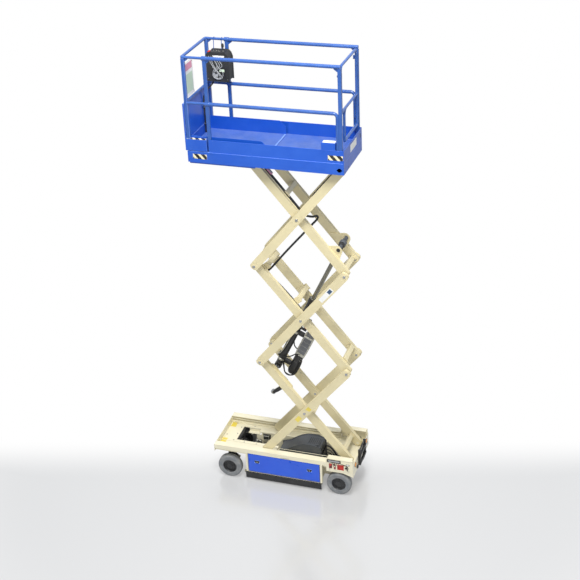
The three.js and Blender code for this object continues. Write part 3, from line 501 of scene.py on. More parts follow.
def make_wheels():
    outer = [(92.5, 40), (98, 44.5), (106, 46.5), (112, 45), (128, 48.5), (140, 49), (150, 45.5),
             (157.5, 37.5), (160.5, 28), (161.2, 14)]
    tyre = [(radius, -along) for radius, along in outer] + outer[::-1]
    rim = [(21.5, -38), (91.5, -38), (91.7, 40), (84, 41.5), (79.5, 36), (76, 26), (62, 24), (52, 30),
           (47, 31.5), (21.5, 31.5)]
    for end, spin in (("front", WHEEL_X), ("rear", -WHEEL_X)):
        for side, word in SIDES:
            centre = Vector((spin, side * 330, AXLE_Z))
            out = Vector((0, side, 0))
            body = f"{end}_{word}_roadwheel"
            rubber = Shape()
            rubber.turned(tyre, centre, out, "tyre", 72, closed=True)
            for c, s in circle(36):
                ahead, across = Vector((c, 0, s)), Vector((-s, 0, c))
                for lean in (1, -1):
                    start = centre + ahead * 160.6 + out * 3 * lean
                    end_at = centre + ahead * 158.3 + out * 36 * lean + across * 4
                    rubber.tube([start, end_at], 1.1, "tyre", 6)
            rubber.build(f"{end}_{word}_tyre_rubber", body, [f"{end}_{word}_tyre"], 50)
            hub = Shape()
            hub.turned(rim, centre, out, "hub", 56, closed=True)
            cap = [(36, 28), (36, 40), (30, 45.5), (12, 47.5)]
            hub.turned(cap, centre, out, "hub", 36)
            hub.turned([(25.5, 30), (25.5, 41.5)], centre, out, "black", 6)
            for c, s in circle(5, first=0.3):
                hub.bolt(centre + Vector((c, 0, s)) * 56 + out * 27.5, out, 6.2, "black")
            for c, s in circle(10):
                ahead = Vector((c, 0, s))
                hub.tube([centre + ahead * 58.5 + out * 25.5, centre + ahead * 76.5 + out * 27.5],
                         2.8, "hub", 8)
            hub.build(f"{end}_{word}_hub", body, [f"{end}_{word}_wheel"], 40)


make_wheels()

# ---- Scissor stack ---------------------------------------------------------------------------------


def frame_along(along, above, origin):
    """A frame with X along a part, Y as the machine's, and Z square above the part."""
    return Matrix(((along.x, 0, above.x, origin.x), (0, 1, 0, 0), (along.z, 0, above.z, origin.z),
                   (0, 0, 0, 1)))


def arm_place(stage, outer):
    """The frame of an arm, from its lower pin."""
    along = Vector((-RUN if outer else RUN, 0, RISE)).normalized()
    above = Vector((abs(along.z), 0, abs(along.x))) if outer else Vector((-along.z, 0, along.x))
    return frame_along(along, above, Vector((PIN.x + (RUN if outer else 0), 0, PIN.z + stage * RISE)))


def arm_outline(length=ARM, nose=30, half=45, steps=10):
    turns = [(k / steps - 0.5) * math.pi for k in range(steps + 1)]
    points = [(length + nose * math.cos(t), half * math.sin(t)) for t in turns]
    points += [(-nose * math.cos(t), -half * math.sin(t)) for t in turns]
    return points


def boss(shape, along, above, side, face, radius=26, head=17, finish="cream"):
    """A pin's end on an arm's outer face, with its retaining plate and bolt."""
    out = Vector((0, side, 0))
    at = Vector((along, side * face, above))
    shape.turned([(radius + 4, -2), (radius + 4, 2.2), (radius, 4.2)], at, out, finish, 32)
    shape.turned([(head, 2), (head, 6.2), (head - 2, 7.8)], at, out, "steel", 28)
    shape.box((along - 6, along + 30), mirror(side, face - 1, face + 5.2), (above - 6, above + 6), finish, 1)
    shape.bolt(at + Vector((24, side * 5, 0)), out, 4.5)


def cross_tube(shape, along, above):
    half = 28
    shape.box((along - half, along + half), (-171, 171), (above - half, above + half), "cream", 7, 3)
    low, high = min(-37, above - half), max(37, above + half)
    for side in (1, -1):
        shape.box((along - half - 14, along + half + 14), mirror(side, 160, 172), (low, high), "cream", 2.5)
        shape.box((along - half - 8, along + half + 8), mirror(side, 170, 180), (-37, 37), "cream", 2)
        shape.ring((along, side * 159, above), (0, 1, 0), 33.5, 3.2, "cream", 4, 8)
        for step in (-1, 1):
            shape.bolt((along + step * 34, side * 159.8, above if above > 30 else 0), (0, -side, 0), 5.5)


INNER_CROSSINGS = (((140, 0), (ARM / 2 - 90, 0)), ((130, 40), (1079.9, 100), (ARM - 100, 86)),
                   ((40, -6), (ARM - 574, 45)))


def gusset(shape, outline):
    for side in (1, -1):
        shape.slab(outline, mirror(side, INNER_LANE[0] - 10, INNER_LANE[0] + 2), "cream", 1.5)


def make_inner_frames():
    for stage in range(3):
        shape = Shape(arm_place(stage, False))
        for side in (1, -1):
            shape.slab(arm_outline(), mirror(side, *INNER_LANE), "cream", 6.5, 3)
            for along in (0, ARM / 2, ARM):
                face = INNER_LANE[0]
                shape.turned([(28.5, -2), (28.5, 2.5), (17.5, 3), (17.5, -2)],
                             (along, side * face, 0), (0, -side, 0), "cream", 32)
                shape.turned([(16.5, -4), (16.5, 1.5)], (along, side * face, 0), (0, -side, 0), "steel", 28)
        for along, above in INNER_CROSSINGS[stage]:
            cross_tube(shape, along, above)
        if stage == 0:
            pin = ARM - 223
            gusset(shape, [(pin - 387, -40), (pin + 123, -40), (pin + 83, 66), (pin - 287, 66)])
            shape.rod((pin, -182, 0), (pin, 182, 0), 24.8, "steel", 32)
            for side in (1, -1):
                shape.turned([(42, 0), (42, 8), (38, 10)], (pin, side * 168, 0), (0, -side, 0), "cream", 36)
                for step in (-300, -220, -140, 90):
                    shape.bolt((pin + step, side * 168, 48), (0, -side, 0), 6)
            leg = 1256
            strap = [(leg - 24, -18), (leg - 24, -240), (leg - 12, -300), (leg - 10, -318),
                     (leg + 10, -318), (leg + 12, -300), (leg + 24, -240), (leg + 24, -18)]
            shape.slab(strap, (60.3, 72.3), "black", 2)
            shape.box((leg - 24, leg + 24), (60.3, 176), (-38, -18), "black", 2)
            shape.rod((leg, 18, -310), (leg, 80, -310), 7.8, "zinc", 20)
        if stage == 2:
            pin, up = 281, 112
            gusset(shape, [(pin - 150, -30), (pin + 170, -30), (pin + 96, 60), (pin + 52, up + 18),
                           (pin + 30, up + 34), (pin - 26, up + 34), (pin - 48, up + 18), (pin - 88, 60)])
            for side in (1, -1):
                shape.turned([(38, 0), (38, 4)], (pin, side * 179.5, up), (0, side, 0), "cream", 32)
                shape.turned([(24, 0), (24, 7), (21, 9)], (pin, side * 179, up), (0, side, 0), "black", 28)
                shape.rod((ARM, side * 226, 0), (ARM, side * 296, 0), 19.8, "steel", 28)
                shape.turned([(34.8, 0), (34.8, 40)], (ARM, side * 294, 0), (0, side, 0), "plastic", 40, 2)
        nodes = [f"stage{stage + 1}_inner_frame"]
        shape.build(f"stage{stage + 1}_inner_arms", f"stage{stage + 1}_inner", nodes)
    roller = Shape(arm_place(0, False))
    roller.turned([(8.8, 0), (26, 0), (31.8, 6), (31.8, 34), (26, 40), (8.8, 40)],
                  (1256, 20, -310), (0, 1, 0), "nylon", 44, closed=True)
    roller.build("guard_roller", "stage1_inner", ["guard_cam_roller"])


def make_outer_arms():
    pins = {1: (ARM / 2, ARM), 2: (0, ARM / 2, ARM), 3: (0, ARM / 2, ARM)}
    for stage in (1, 2, 3):
        for side, word in SIDES:
            out = (0, side, 0)
            shape = Shape(arm_place(stage - 1, True))
            shape.slab(arm_outline(), mirror(side, *OUTER_LANE), "cream", 6.5, 3)
            for along in pins[stage]:
                boss(shape, along, 0, side, OUTER_LANE[1])
                if stage < 3 or along < ARM:
                    shape.rod((along, side * 182, 0), (along, side * 236, 0), 16.8, "steel", 24)
            if stage == 1:
                shape.rod((0, side * 283, 0), (0, side * 296, 0), 19.8, "steel", 28)
                shape.turned([(34.8, 0), (34.8, 40)], (0, side * 294, 0), out, "plastic", 40, 2)
            # The doubler plate, half way, that the middle pin is welded into.
            middle = ARM / 2
            shape.slab([(middle - 75, -34), (middle + 75, -34), (middle + 55, 34),
                        (middle - 55, 34)], mirror(side, 284.5, 286.6), "cream", 0.8)
            if stage == 3:
                for step in (160, 235):
                    shape.box((step - 26, step + 26), mirror(side, 238, 281.5), (44, 49.5), "cream", 1.5)
            for end in (35, ARM - 35):
                shape.ring((end, side * 285.2, 0), (0, 1, 0), 34.5, 1.6, "cream", 24, 6)
            nodes = [f"stage{stage}_outer_arm_{word}"]
            shape.build(f"stage{stage}_outer_{word}", f"stage{stage}_outer", nodes)
        if stage == 1:
            decal = Shape(arm_place(0, True))
            for side in (1, -1):
                for along in (700, 905):
                    decal.box((along, along + 85), mirror(side, 285, 285.6), (-26, 30), "yellow", 0)
            decal.build("stage1_outer_decals", "stage1_outer")
        if stage == 2:
            plate = Shape(arm_place(1, True))
            for side in (1, -1):
                plate.box((1270, 1500), mirror(side, 285, 285.7), (-30, 30), "white", 0)
                plate.box((1425, 1485), mirror(side, 285.6, 286.1), (-22, 22), "slate", 0)
            plate.build("stage2_outer_plate", "stage2_outer")


make_inner_frames()
make_outer_arms()

# ---- Lift cylinder and power unit ------------------------------------------------------------------


def make_cylinder():
    foot = hinge("cylinder_pivot")
    stroke = Vector(HINGES["cylinder_stroke"]["axis"]).normalized()
    place = frame_along(stroke, Vector((-stroke.z, 0, stroke.x)), foot)
    length = 1999.4
    shape = Shape(place)
    shape.turned([(26.2, -34), (45, -34), (46, -30), (46, 30), (45, 34), (26.2, 34)],
                 (0, 0, 0), (0, 1, 0), "black", 48, closed=True)
    shape.turned([(38, 34), (43, 44), (44, 60), (44, 1055), (50.5, 1062), (50.5, 1112),
                  (47, 1119.5), (27.2, 1119.5)], (0, 0, 0), (1, 0, 0), "black", 56)
    for along in (75, 1062, 1112):
        shape.ring((along, 0, 0), (1, 0, 0), 44.5 if along < 1000 else 50, 1.6, "black", 48)
    shape.turned([(29.2, 0), (35.5, 0), (34.5, 3.5), (27.2, 3.5)], (1118, 0, 0), (1, 0, 0), "zinc", 40)
    # Port blocks and the hard line between them.
    shape.box((135, 185), (-20, 20), (-62, -36), "black", 2)
    shape.box((1000, 1045), (36, 62), (-18, 18), "black", 2)
    line = [(160, 0, -60), (160, 30, -70), (300, 48, -30), (950, 50, -6), (1020, 52, 0)]
    shape.tube(smooth_path(line), 6, "zinc", 12)
    # Saddles of the motor and the tank.
    shape.box((90, 130), (-30, 30), (36, 131.5), "black", 3)
    shape.box((560, 600), (-30, 30), (36, 115.5), "black", 3)
    for along in (110, 580):
        shape.turned([(44.8, -14), (47.5, -12), (47.5, 12), (44.8, 14)], (along, 0, 0), (1, 0, 0),
                     "zinc", 40, closed=True)
    shape.build("lift_barrel", "cylinder_barrel", ["lift_cylinder_barrel"])

    rod = Shape(place)
    rod.turned([(22, 1045), (25.8, 1049), (25.8, length - 32)], (0, 0, 0), (1, 0, 0), "chrome", 48)
    rod.turned([(30, length - 75), (33.5, length - 70), (33.5, length - 36)], (0, 0, 0), (1, 0, 0),
               "black", 36)
    rod.turned([(42.5, -32), (44, -30), (44, 30), (42.5, 32)], (length, 0, 0), (0, 1, 0), "cover", 44)
    rod.rod((length, -166, 0), (length, 166, 0), 23.8, "cover", 36)
    for side in (1, -1):
        rod.turned([(32, 0), (32, 30), (29, 32)], (length, side * 34, 0), (0, side, 0), "black", 32)
    rod.build("lift_rod", "cylinder_rod", ["lift_cylinder_rod"])

    motor = Shape(place)
    lift = 186
    motor.turned([(18, -15.5), (32, -15), (42, -8.5), (48.5, 3), (53.5, 14), (53.8, 190), (50, 194),
                  (50, 206), (53.8, 210), (53.8, 299)], (0, 0, lift), (1, 0, 0), "black", 56)
    for k in range(5):
        motor.ring((30 + k * 10, 0, lift), (1, 0, 0), 53.5, 1.2, "black", 48, 6)
    for c, s in circle(4, first=0.5):
        motor.bolt((-8.5, 33 * c, lift + 33 * s), (-1, 0, 0), 4.2)
    # The ports lean a hair short of 45 degrees, which settles how their facets are turned.
    for step in (235, 268):
        motor.rod((step, 40, lift + 30), (step, 52, lift + 41.999), 7, "zinc", 16)
    motor.box((205, 295), (-40, 40), (lift - 53.8, lift - 30), "black", 3)
    motor.build("power_unit_motor", "cylinder_barrel", ["pump_motor"])

    tank = Shape(place)
    tank.box((300.5, 335), (-50, 50), (120, 246), "zinc", 3)
    tank.box((337, 619), (-65.5, 65.5), (118, 249), "tank", 16, 4)
    for step in (395, 465, 535):
        tank.box((step, step + 12), (-66, 66), (116.5, 250), "tank", 3)
    tank.turned([(17, 0), (17, 10), (22, 12), (22, 20), (18, 23)], (585, 0, 226.5), (0, 0, 1), "white", 24)
    for side in (1, -1):
        tank.turned([(14, 0), (14, 26), (11, 28)], (318, side * 26, 246 - 28), (0, 0, 1), "black", 20)
        tank.turned([(9.5, 0), (9.5, 14)], (318, side * 49, 175), (0, side, 0), "zinc", 18)
    tank.build("power_unit_tank", "cylinder_barrel", ["oil_tank"])

    sign = Shape(place)
    sign.box((660, 860), (30, 34), (30, 112), "black", 1)
    sign.box((700, 800), (33.8, 34.6), (40, 70), "white", 0)
    sign.box((700, 800), (33.8, 34.6), (78, 98), "red", 0)
    sign.build("cylinder_plate", "cylinder_barrel")

    hoses = Shape(place)
    # They stay inside the guard roller's strap, which swings past the motor as the stack folds.
    routes = [[(318, 52, 175), (296, 52.5, 128), (240, 52.5, 90), (180, 51, 20), (160, 20, -50)],
              [(318, -60, 175), (295, -70, 140), (330, -70, 60), (480, -66, 10), (700, -55, 0),
               (980, -52, 0)], [(235, 50, 226), (205, 49, 236), (110, 46, 238), (20, 44, 228), (-36, 42, 190),
                                (-34, 44, 130), (30, 46, 80), (100, 44, 40)],
              [(268, 50, 226), (240, 44, 243), (130, 30, 250), (10, 24, 240), (-46, 20, 196), (-42, 22, 120),
               (20, 28, 82), (90, 30, 48)]]
    for route in routes:
        hoses.tube(smooth_path(route), 7.5, "hose", 12)
    hoses.build("power_unit_hoses", "cylinder_barrel")


make_cylinder()


def arm_points(stage, outer, points):
    """Points given along an arm, in the machine's frame."""
    place = arm_place(stage, outer)
    return [place @ Vector(p) for p in points]


def make_stack_hoses():
    def run(name, body, route, radius=8.5, clips=(), steps=8):
        shape = Shape()
        path = smooth_path(route, steps)
        shape.tube(path, radius, "hose", 14)
        for k in clips:
            at = Vector(route[k])
            ahead = (Vector(route[min(k + 1, len(route) - 1)]) - Vector(route[k - 1])).normalized()
            shape.ring(at, ahead, radius + 1, 2.6, "black", 20, 6)
        shape.build(name, body)
        return path

    top = [(1640, 120, 30), (1600, 150, 52), (1540, 166, 56), (1360, 166, 57), (1160, 166, 56),
           (980, 166, 55), (905, 164, 50)]
    run("upper_arm_hose", "stage3_inner", arm_points(2, False, top), 9.5, (2, 3, 4, 5))
    run("upper_arm_wire", "stage3_inner", arm_points(2, False, [(a, b - 20, c + 4) for a, b, c in top]), 6.5)
    over = [(1640, 246, 50), (1600, 246, 54), (1450, 246, 54.5), (1280, 246, 54.5), (1220, 240, 50)]
    run("outer_arm_hose", "stage3_outer", arm_points(2, True, over), 8, (1, 2, 3))
    low = [(1520, 164, 13), (1460, 166, 30), (1320, 166, 44), (1160, 166, 50), (1020, 166, 50),
           (970, 160, 46)]
    run("middle_arm_hose", "stage2_inner", arm_points(1, False, low), 8, (1, 2, 3, 4))
    base = [(175, 150, -60), (215, 164, -46), (340, 166, -30), (500, 166, -40),
            (620, 166, -36), (740, 164, -20)]
    run("lower_arm_hose", "stage1_inner", arm_points(0, False, base), 12, (1, 2, 3, 4))
    plate = Shape(arm_place(0, False))
    plate.box((1285, 1362), (50, 125), (-18.5, -12), "black", 1.5)
    plate.box((1300, 1347), (64, 111), (-12.5, -11.3), "cream", 0)
    plate.build("bracket_plate", "stage1_inner")
    junction = Shape(arm_place(2, False))
    junction.box((1450, 1535), (118, 172), (46, 76), "pink", 4, 3)
    junction.box((1462, 1523), (124, 166), (75.5, 79), "grey", 1.5)
    for along in (1470, 1515):
        junction.turned([(11, 0), (11, 10), (8, 14)], (along, 119, 61), (0, -1, 0), "black", 18)
    junction.build("arm_junction", "stage3_inner")

    # The free hose from the third stage's crossing down to the second stage's inner arm.
    start = arm_points(2, False, [(905, 164, 50)])[0]
    end = arm_points(1, False, [(1520, 164, 13)])[0]
    route = [start, (-345, 110, 3775), (-400, 30, 3728), (-448, 0, 3728), (-452, 0, 3692), (-380, 0, 3606),
             (-286, 0, 3496), (-68, 10, 3243), (120, 30, 3015), (170, 90, 2962), end]
    shape = Shape()
    path = smooth_path(route, 16)
    shape.tube(path, 13, "hose", 16)
    hose = shape.build("stack_hose", "stage3_inner")


make_stack_hoses()

# ---- Platform --------------------------------------------------------------------------------------


def tread(shape, x, y, level, finish, pitch=30):
    """Raised lozenges in alternating directions, as on chequer plate."""
    rows, columns = int((x[1] - x[0]) / pitch), int((y[1] - y[0]) / pitch)
    for i in range(rows):
        for j in range(columns):
            cx, cy = x[0] + (i + 0.5) * pitch, y[0] + (j + 0.5) * pitch
            lean = math.radians(45 if (i + j) % 2 else -45)
            c, s = math.cos(lean), math.sin(lean)
            ring = [(12.5, 0), (0, 3.2), (-12.5, 0), (0, -3.2)]
            low = [(cx + a * c - b * s, cy + a * s + b * c, level) for a, b in ring]
            high = [(cx + (a * c - b * s) * 0.6, cy + (a * s + b * c) * 0.6, level + 1.3) for a, b in ring]
            faces = [(4, 5, 6, 7)] + [(k, (k + 1) % 4, (k + 1) % 4 + 4, k + 4) for k in range(4)]
            shape.add(low + high, faces, finish)


def clipped(points, low, high):
    """The part of a convex outline whose first coordinate lies between two values."""
    for limit, sign in ((low, 1), (high, -1)):
        kept = []
        for a, b in zip(points, points[1:] + points[:1]):
            inside_a, inside_b = (a[0] - limit) * sign >= 0, (b[0] - limit) * sign >= 0
            if inside_a:
                kept.append(a)
            if inside_a != inside_b:
                t = (limit - a[0]) / (b[0] - a[0])
                kept.append((limit, a[1] + (b[1] - a[1]) * t))
        points = kept
    return points


def stripes(shape, corner, along, up, out, length, height, lines=2):
    """A hazard label: slanting black bars on a pale ground, lying on a face."""
    corner, along, up, out = Vector(corner), Vector(along), Vector(up), Vector(out)

    def patch(points, lift, finish):
        low = [corner + along * a + up * b + out * (lift - 0.3) for a, b in points]
        high = [corner + along * a + up * b + out * lift for a, b in points]
        shape.add(low + high, prism(len(points)), finish)

    patch([(0, 0), (length, 0), (length, height), (0, height)], 0.6, "stripe")
    step = length / lines
    lean = height * 0.9
    for k in range(-1, lines + 1):
        left = k * step + step * 0.1
        low = [left + lean, left + lean + step * 0.56]
        high = [left, left + step * 0.56]
        points = [(low[0], 0), (low[1], 0), (high[1], height), (high[0], height)]
        cut = clipped(points, 2, length - 2)
        if len(cut) > 2:
            patch(cut, 1, "black")


def rail_tube(shape, points, radius, bend, finish="rail", sides=28):
    shape.tube(rounded_path(points, bend, 8), radius, finish, sides)


def make_guardrails():
    for side, word in SIDES:
        y = side * RAIL_Y
        shape = Shape()
        for x in (MAIN_POST, REAR_POST):
            span = mirror(side, 338, 368.6)
            shape.box((x - 20, x + 20), span, (DECK + 0.4, TOP_RAIL - 14), "rail", 5, 3)
            foot = mirror(side, 333.5, 368.6)
            shape.box((x - 26, x + 26), foot, (DECK + 0.4, DECK + 6.5), "rail", 1.5)
            shape.box((x - 22.5, x + 22.5), mirror(side, 336, 368.6), (TOE - 30, TOE - 4), "rail", 1.5)
            for z in (DECK + 45, TOE - 60):
                shape.bolt((x, side * 338.3, z), (0, -side, 0), 7.5)
        # Top rail, its closed rear end and the sleeve that the extension's rail slides through.
        for level, start in ((TOP_RAIL, REAR_POST - 15), (MID_RAIL, REAR_POST + 75)):
            length = MAIN_POST - 20 - start
            walls = [(0.4, 0), (19, 0), (21, 2), (21, length), (18.2, length),
                     (18.2, length - 400), (0.4, length - 400)]
            shape.turned(walls, (start, y, level), (1, 0, 0), "rail", 32)
            sleeve = [(18.2, -26), (24.3, -26), (25, -24.5), (25, 24.5), (24.3, 26), (18.2, 26)]
            shape.turned(sleeve, (MAIN_POST, y, level), (1, 0, 0), "rail", 36, closed=True)
            shape.ring((MAIN_POST - 27, y, level), (1, 0, 0), 22.2, 2.2, "rail", 32)
        shape.ring((REAR_POST + 21, y, TOP_RAIL - 2), (1, 0, 0), 21.2, 1.8, "rail", 28)
        bend = [(REAR_POST + 150, y, MID_RAIL), (REAR_POST + 34, y, MID_RAIL), (REAR_POST + 34, y, TOE - 30)]
        rail_tube(shape, bend, 19, 85)
        shape.ring((REAR_POST + 144.5, y, MID_RAIL), (1, 0, 0), 20, 2, "rail", 28)
        for z in (TOE + 150, TOE + 390):
            shape.box((REAR_POST + 12, REAR_POST + 22), mirror(side, 345, 365), (z, z + 22), "rail", 2)
        # Gussets under the top rail at both posts, and the rail's retaining pin.
        for x, way in ((REAR_POST + 19, 1), (MAIN_POST - 19, -1)):
            corner = TOP_RAIL - 18
            outline = [(x, corner), (x + way * 48, corner), (x + way * 42, corner - 10), (x, corner - 42)]
            shape.slab(outline, mirror(side, 352, 358), "rail", 1.2)
        shape.turned([(6, 0), (6, 14), (10.5, 15), (10.5, 21), (8, 24)],
                     (MAIN_POST - 70, y, TOP_RAIL + 18.5), (0, 0, -1), "zinc", 20)
        if side < 0:
            for z in (TOE + 130, TOP_RAIL - 130):
                shape.box((REAR_POST + 14, REAR_POST + 40), (-350, -323), (z, z + 10), "rail", 1.5)
                shape.rod((*GATE_HINGE, z + 2), (*GATE_HINGE, z + 39.5), 5, "zinc", 18)
        shape.build(f"{word}_rails", "platform", [f"{word}_guardrail"])


def make_gate():
    x, legs, low = REAR_POST, 314, TOE + 60
    inner = legs - 110
    shape = Shape()
    rail_tube(shape, [(x, -legs, low), (x, -legs, TOP_RAIL - 8), (x, legs, TOP_RAIL - 8),
                      (x, legs, MID_RAIL - 15)], 15.9, 60)
    rail_tube(shape, [(x, -legs + 6, MID_RAIL), (x, inner, MID_RAIL), (x, inner, low)], 15.7, 85)
    shape.rod((x, inner - 85, MID_RAIL), (x, legs + 2, MID_RAIL), 15.5, "rail", 28)
    shape.rod((x, -legs, low), (x, inner + 4, low), 15.6, "rail", 28)
    for y, z in ((-legs, MID_RAIL), (-legs, low)):
        shape.ring((x, y + 16.5, z), (0, 1, 0), 16.2, 1.8, "rail", 28)
    shape.ring((x, legs, MID_RAIL + 16.5), (0, 0, 1), 16.2, 1.8, "rail", 28)
    for z in (TOE + 130, TOP_RAIL - 130):
        profile = [(6, 10.5), (8.8, 10.5), (9, 12), (9, 42.5), (8.6, 43.8), (6, 43.8)]
        shape.turned(profile, (*GATE_HINGE, z), (0, 0, 1), "rail", 28, closed=True)
        shape.box((x - 4, -839.5), (-332.5, -319.5), (z + 10.5, z + 43.5), "rail", 2)
    # Latch: a plunger on the free leg, with its knob.
    shape.box((x - 14, x + 14), (legs - 16, legs + 15.5), (TOP_RAIL - 150, TOP_RAIL - 85), "black", 3)
    shape.turned([(6, 0), (6, 12), (12, 14), (12, 24), (9, 27)],
                 (x + 12, legs, TOP_RAIL - 118), (1, 0, 0), "black", 24)
    shape.build("swing_gate", "gate", ["entry_gate"])


def make_platform_details():
    shape = Shape()
    # Chequer plate in the floor's blue, whose lighter tone is partly painted sheen.
    tread(shape, (-888, 2), (-335, 335), DECK, "deck")
    shape.box((-891.5, 952), (-368.5, 368.5), (DECK + 0.2, DECK + 0.9), "deck", 0)
    shape.build("platform_tread", "platform")

    trim = Shape()
    for side, _ in SIDES:
        out = (0, side, 0)
        # Rolled upper edges of the toe boards, a pale blue strip along the deck's edge that is a painted
        # highlight on the lip, and the folded ledge of the skirt.
        y = side * 372
        trim.rod((-895.5, y, TOE - 0.5), (MAIN_POST + 9.5, y, TOE - 0.5), 4.2, "blue", 16)
        trim.box((-897.5, 954.5), mirror(side, 370, 379.8), (DECK - 4.5, DECK + 1.8), "trim", 1)
        trim.box((-897.5, 954.5), mirror(side, 356, 379.8), (SKIRT - 0.2, SKIRT + 5.8), "blue", 1.5)
        for k in range(9):
            trim.bolt((-800 + k * 205, side * 366.5, DECK + 14), (0, -side, 0), 5.2, "blue")
        for k in range(5):
            x = -700 + k * 340
            trim.box((x, x + 3), mirror(side, 373.5, 375.5), (DECK + 10, TOE - 8), "blue", 0.6)
        # The upper pivot's access hole, its rim, a dark blue disc in the hole that is painted shade, and the
        # pin's retaining bolts.
        hole = (-846, side * 378.8, 4493.9)
        trim.turned([(26, 0), (26, 0.9), (23.5, 1.2)], hole, out, "blue", 36)
        trim.turned([(22.5, 0), (22.5, 1.1)], hole, out, "shade_blue", 32)
        for step in (-24, 24):
            trim.turned([(8.5, 0), (8.5, 1.2)], (hole[0] + step, hole[1], hole[2]), out, "black", 20)
        # Bolted ends of the cross members.
        for x in CROSS_MEMBERS:
            for step in (-12, 12):
                trim.turned([(6.2, -1), (6.2, 0.6), (4.5, 1)], (x + step, side * 379, DECK - 22),
                            out, "blue", 14)
        trim.box((160, 949), mirror(side, 290.5, 293.5), (TOP + 37, TOP + 43), "blue", 1)
    # Rear end: rolled edge, ledge in pale blue as a painted highlight, blank plate and the step's grip plate.
    trim.rod((-895, -377, TOE - 0.5), (-895, 377, TOE - 0.5), 3.2, "blue", 16)
    trim.box((-898.2, -893.5), (-379.2, 379.2), (DECK - 1.5, DECK + 2.2), "trim", 0.8)
    trim.box((-898.2, -897.5), (-150, 105), (DECK + 30, DECK + 118), "white", 0)
    trim.box((-898.3, -897.4), (-330, -300), (DECK + 50, DECK + 100), "black", 0)
    for y in (-345, -200, 200, 345):
        trim.turned([(7.5, -1), (7.5, 0.3)], (-897.9, y, SKIRT + 30), (-1, 0, 0), "black", 16)
    trim.build("platform_trim", "platform")

    labels = Shape()
    for side, _ in SIDES:
        out = (0, side, 0)
        stripes(labels, (890, side * 379.6, 4486), (-1, 0, 0), (0, 0, 1), out, 170, 58)
        stripes(labels, (-716, side * 374.6, 4606), (-1, 0, 0), (0, 0, 1), out, 172, 58)
    labels.build("platform_labels", "platform")

    # The manual box's lid, hinge, catch and blank label.
    lid = Shape()
    top = TOE + 80
    lid.box((-802.5, -637.5), (281.5, 373.8), (top - 12, top + 4), "blue", 3)
    lid.rod((-795, 370, top - 1), (-645, 370, top - 1), 4, "blue", 14)
    lid.box((-735, -705), (279, 285), (top - 40, top - 6), "zinc", 1.5)
    lid.box((-792, -650), (292, 360), (top + 3.8, top + 4.6), "white", 0)
    lid.box((-796, -644), (373.5, 374.8), (TOE - 40, top - 18), "blue", 0.8)
    lid.build("manual_box_lid", "platform")

    # Under the floor: two conduits, a junction box and clips.
    under = Shape()
    run = [(-800, 100, DECK - 40), (-520, 100, DECK - 40), (200, 85, DECK - 40),
           (360, 50, DECK - 38), (700, 40, DECK - 40), (860, -20, DECK - 38)]
    under.tube(smooth_path(run, 6), 9, "hose", 12)
    under.tube(smooth_path([(a, b - 35, c) for a, b, c in run], 6), 7, "hose", 12)
    under.box((300, 420), (-50, 90), (DECK - 85, DECK - 40), "grey", 4, 3)
    for x in CROSS_MEMBERS:
        under.box((x - 12, x + 12), (30, 130), (DECK - 52, DECK - 34), "zinc", 2)
    under.build("platform_conduits", "platform")


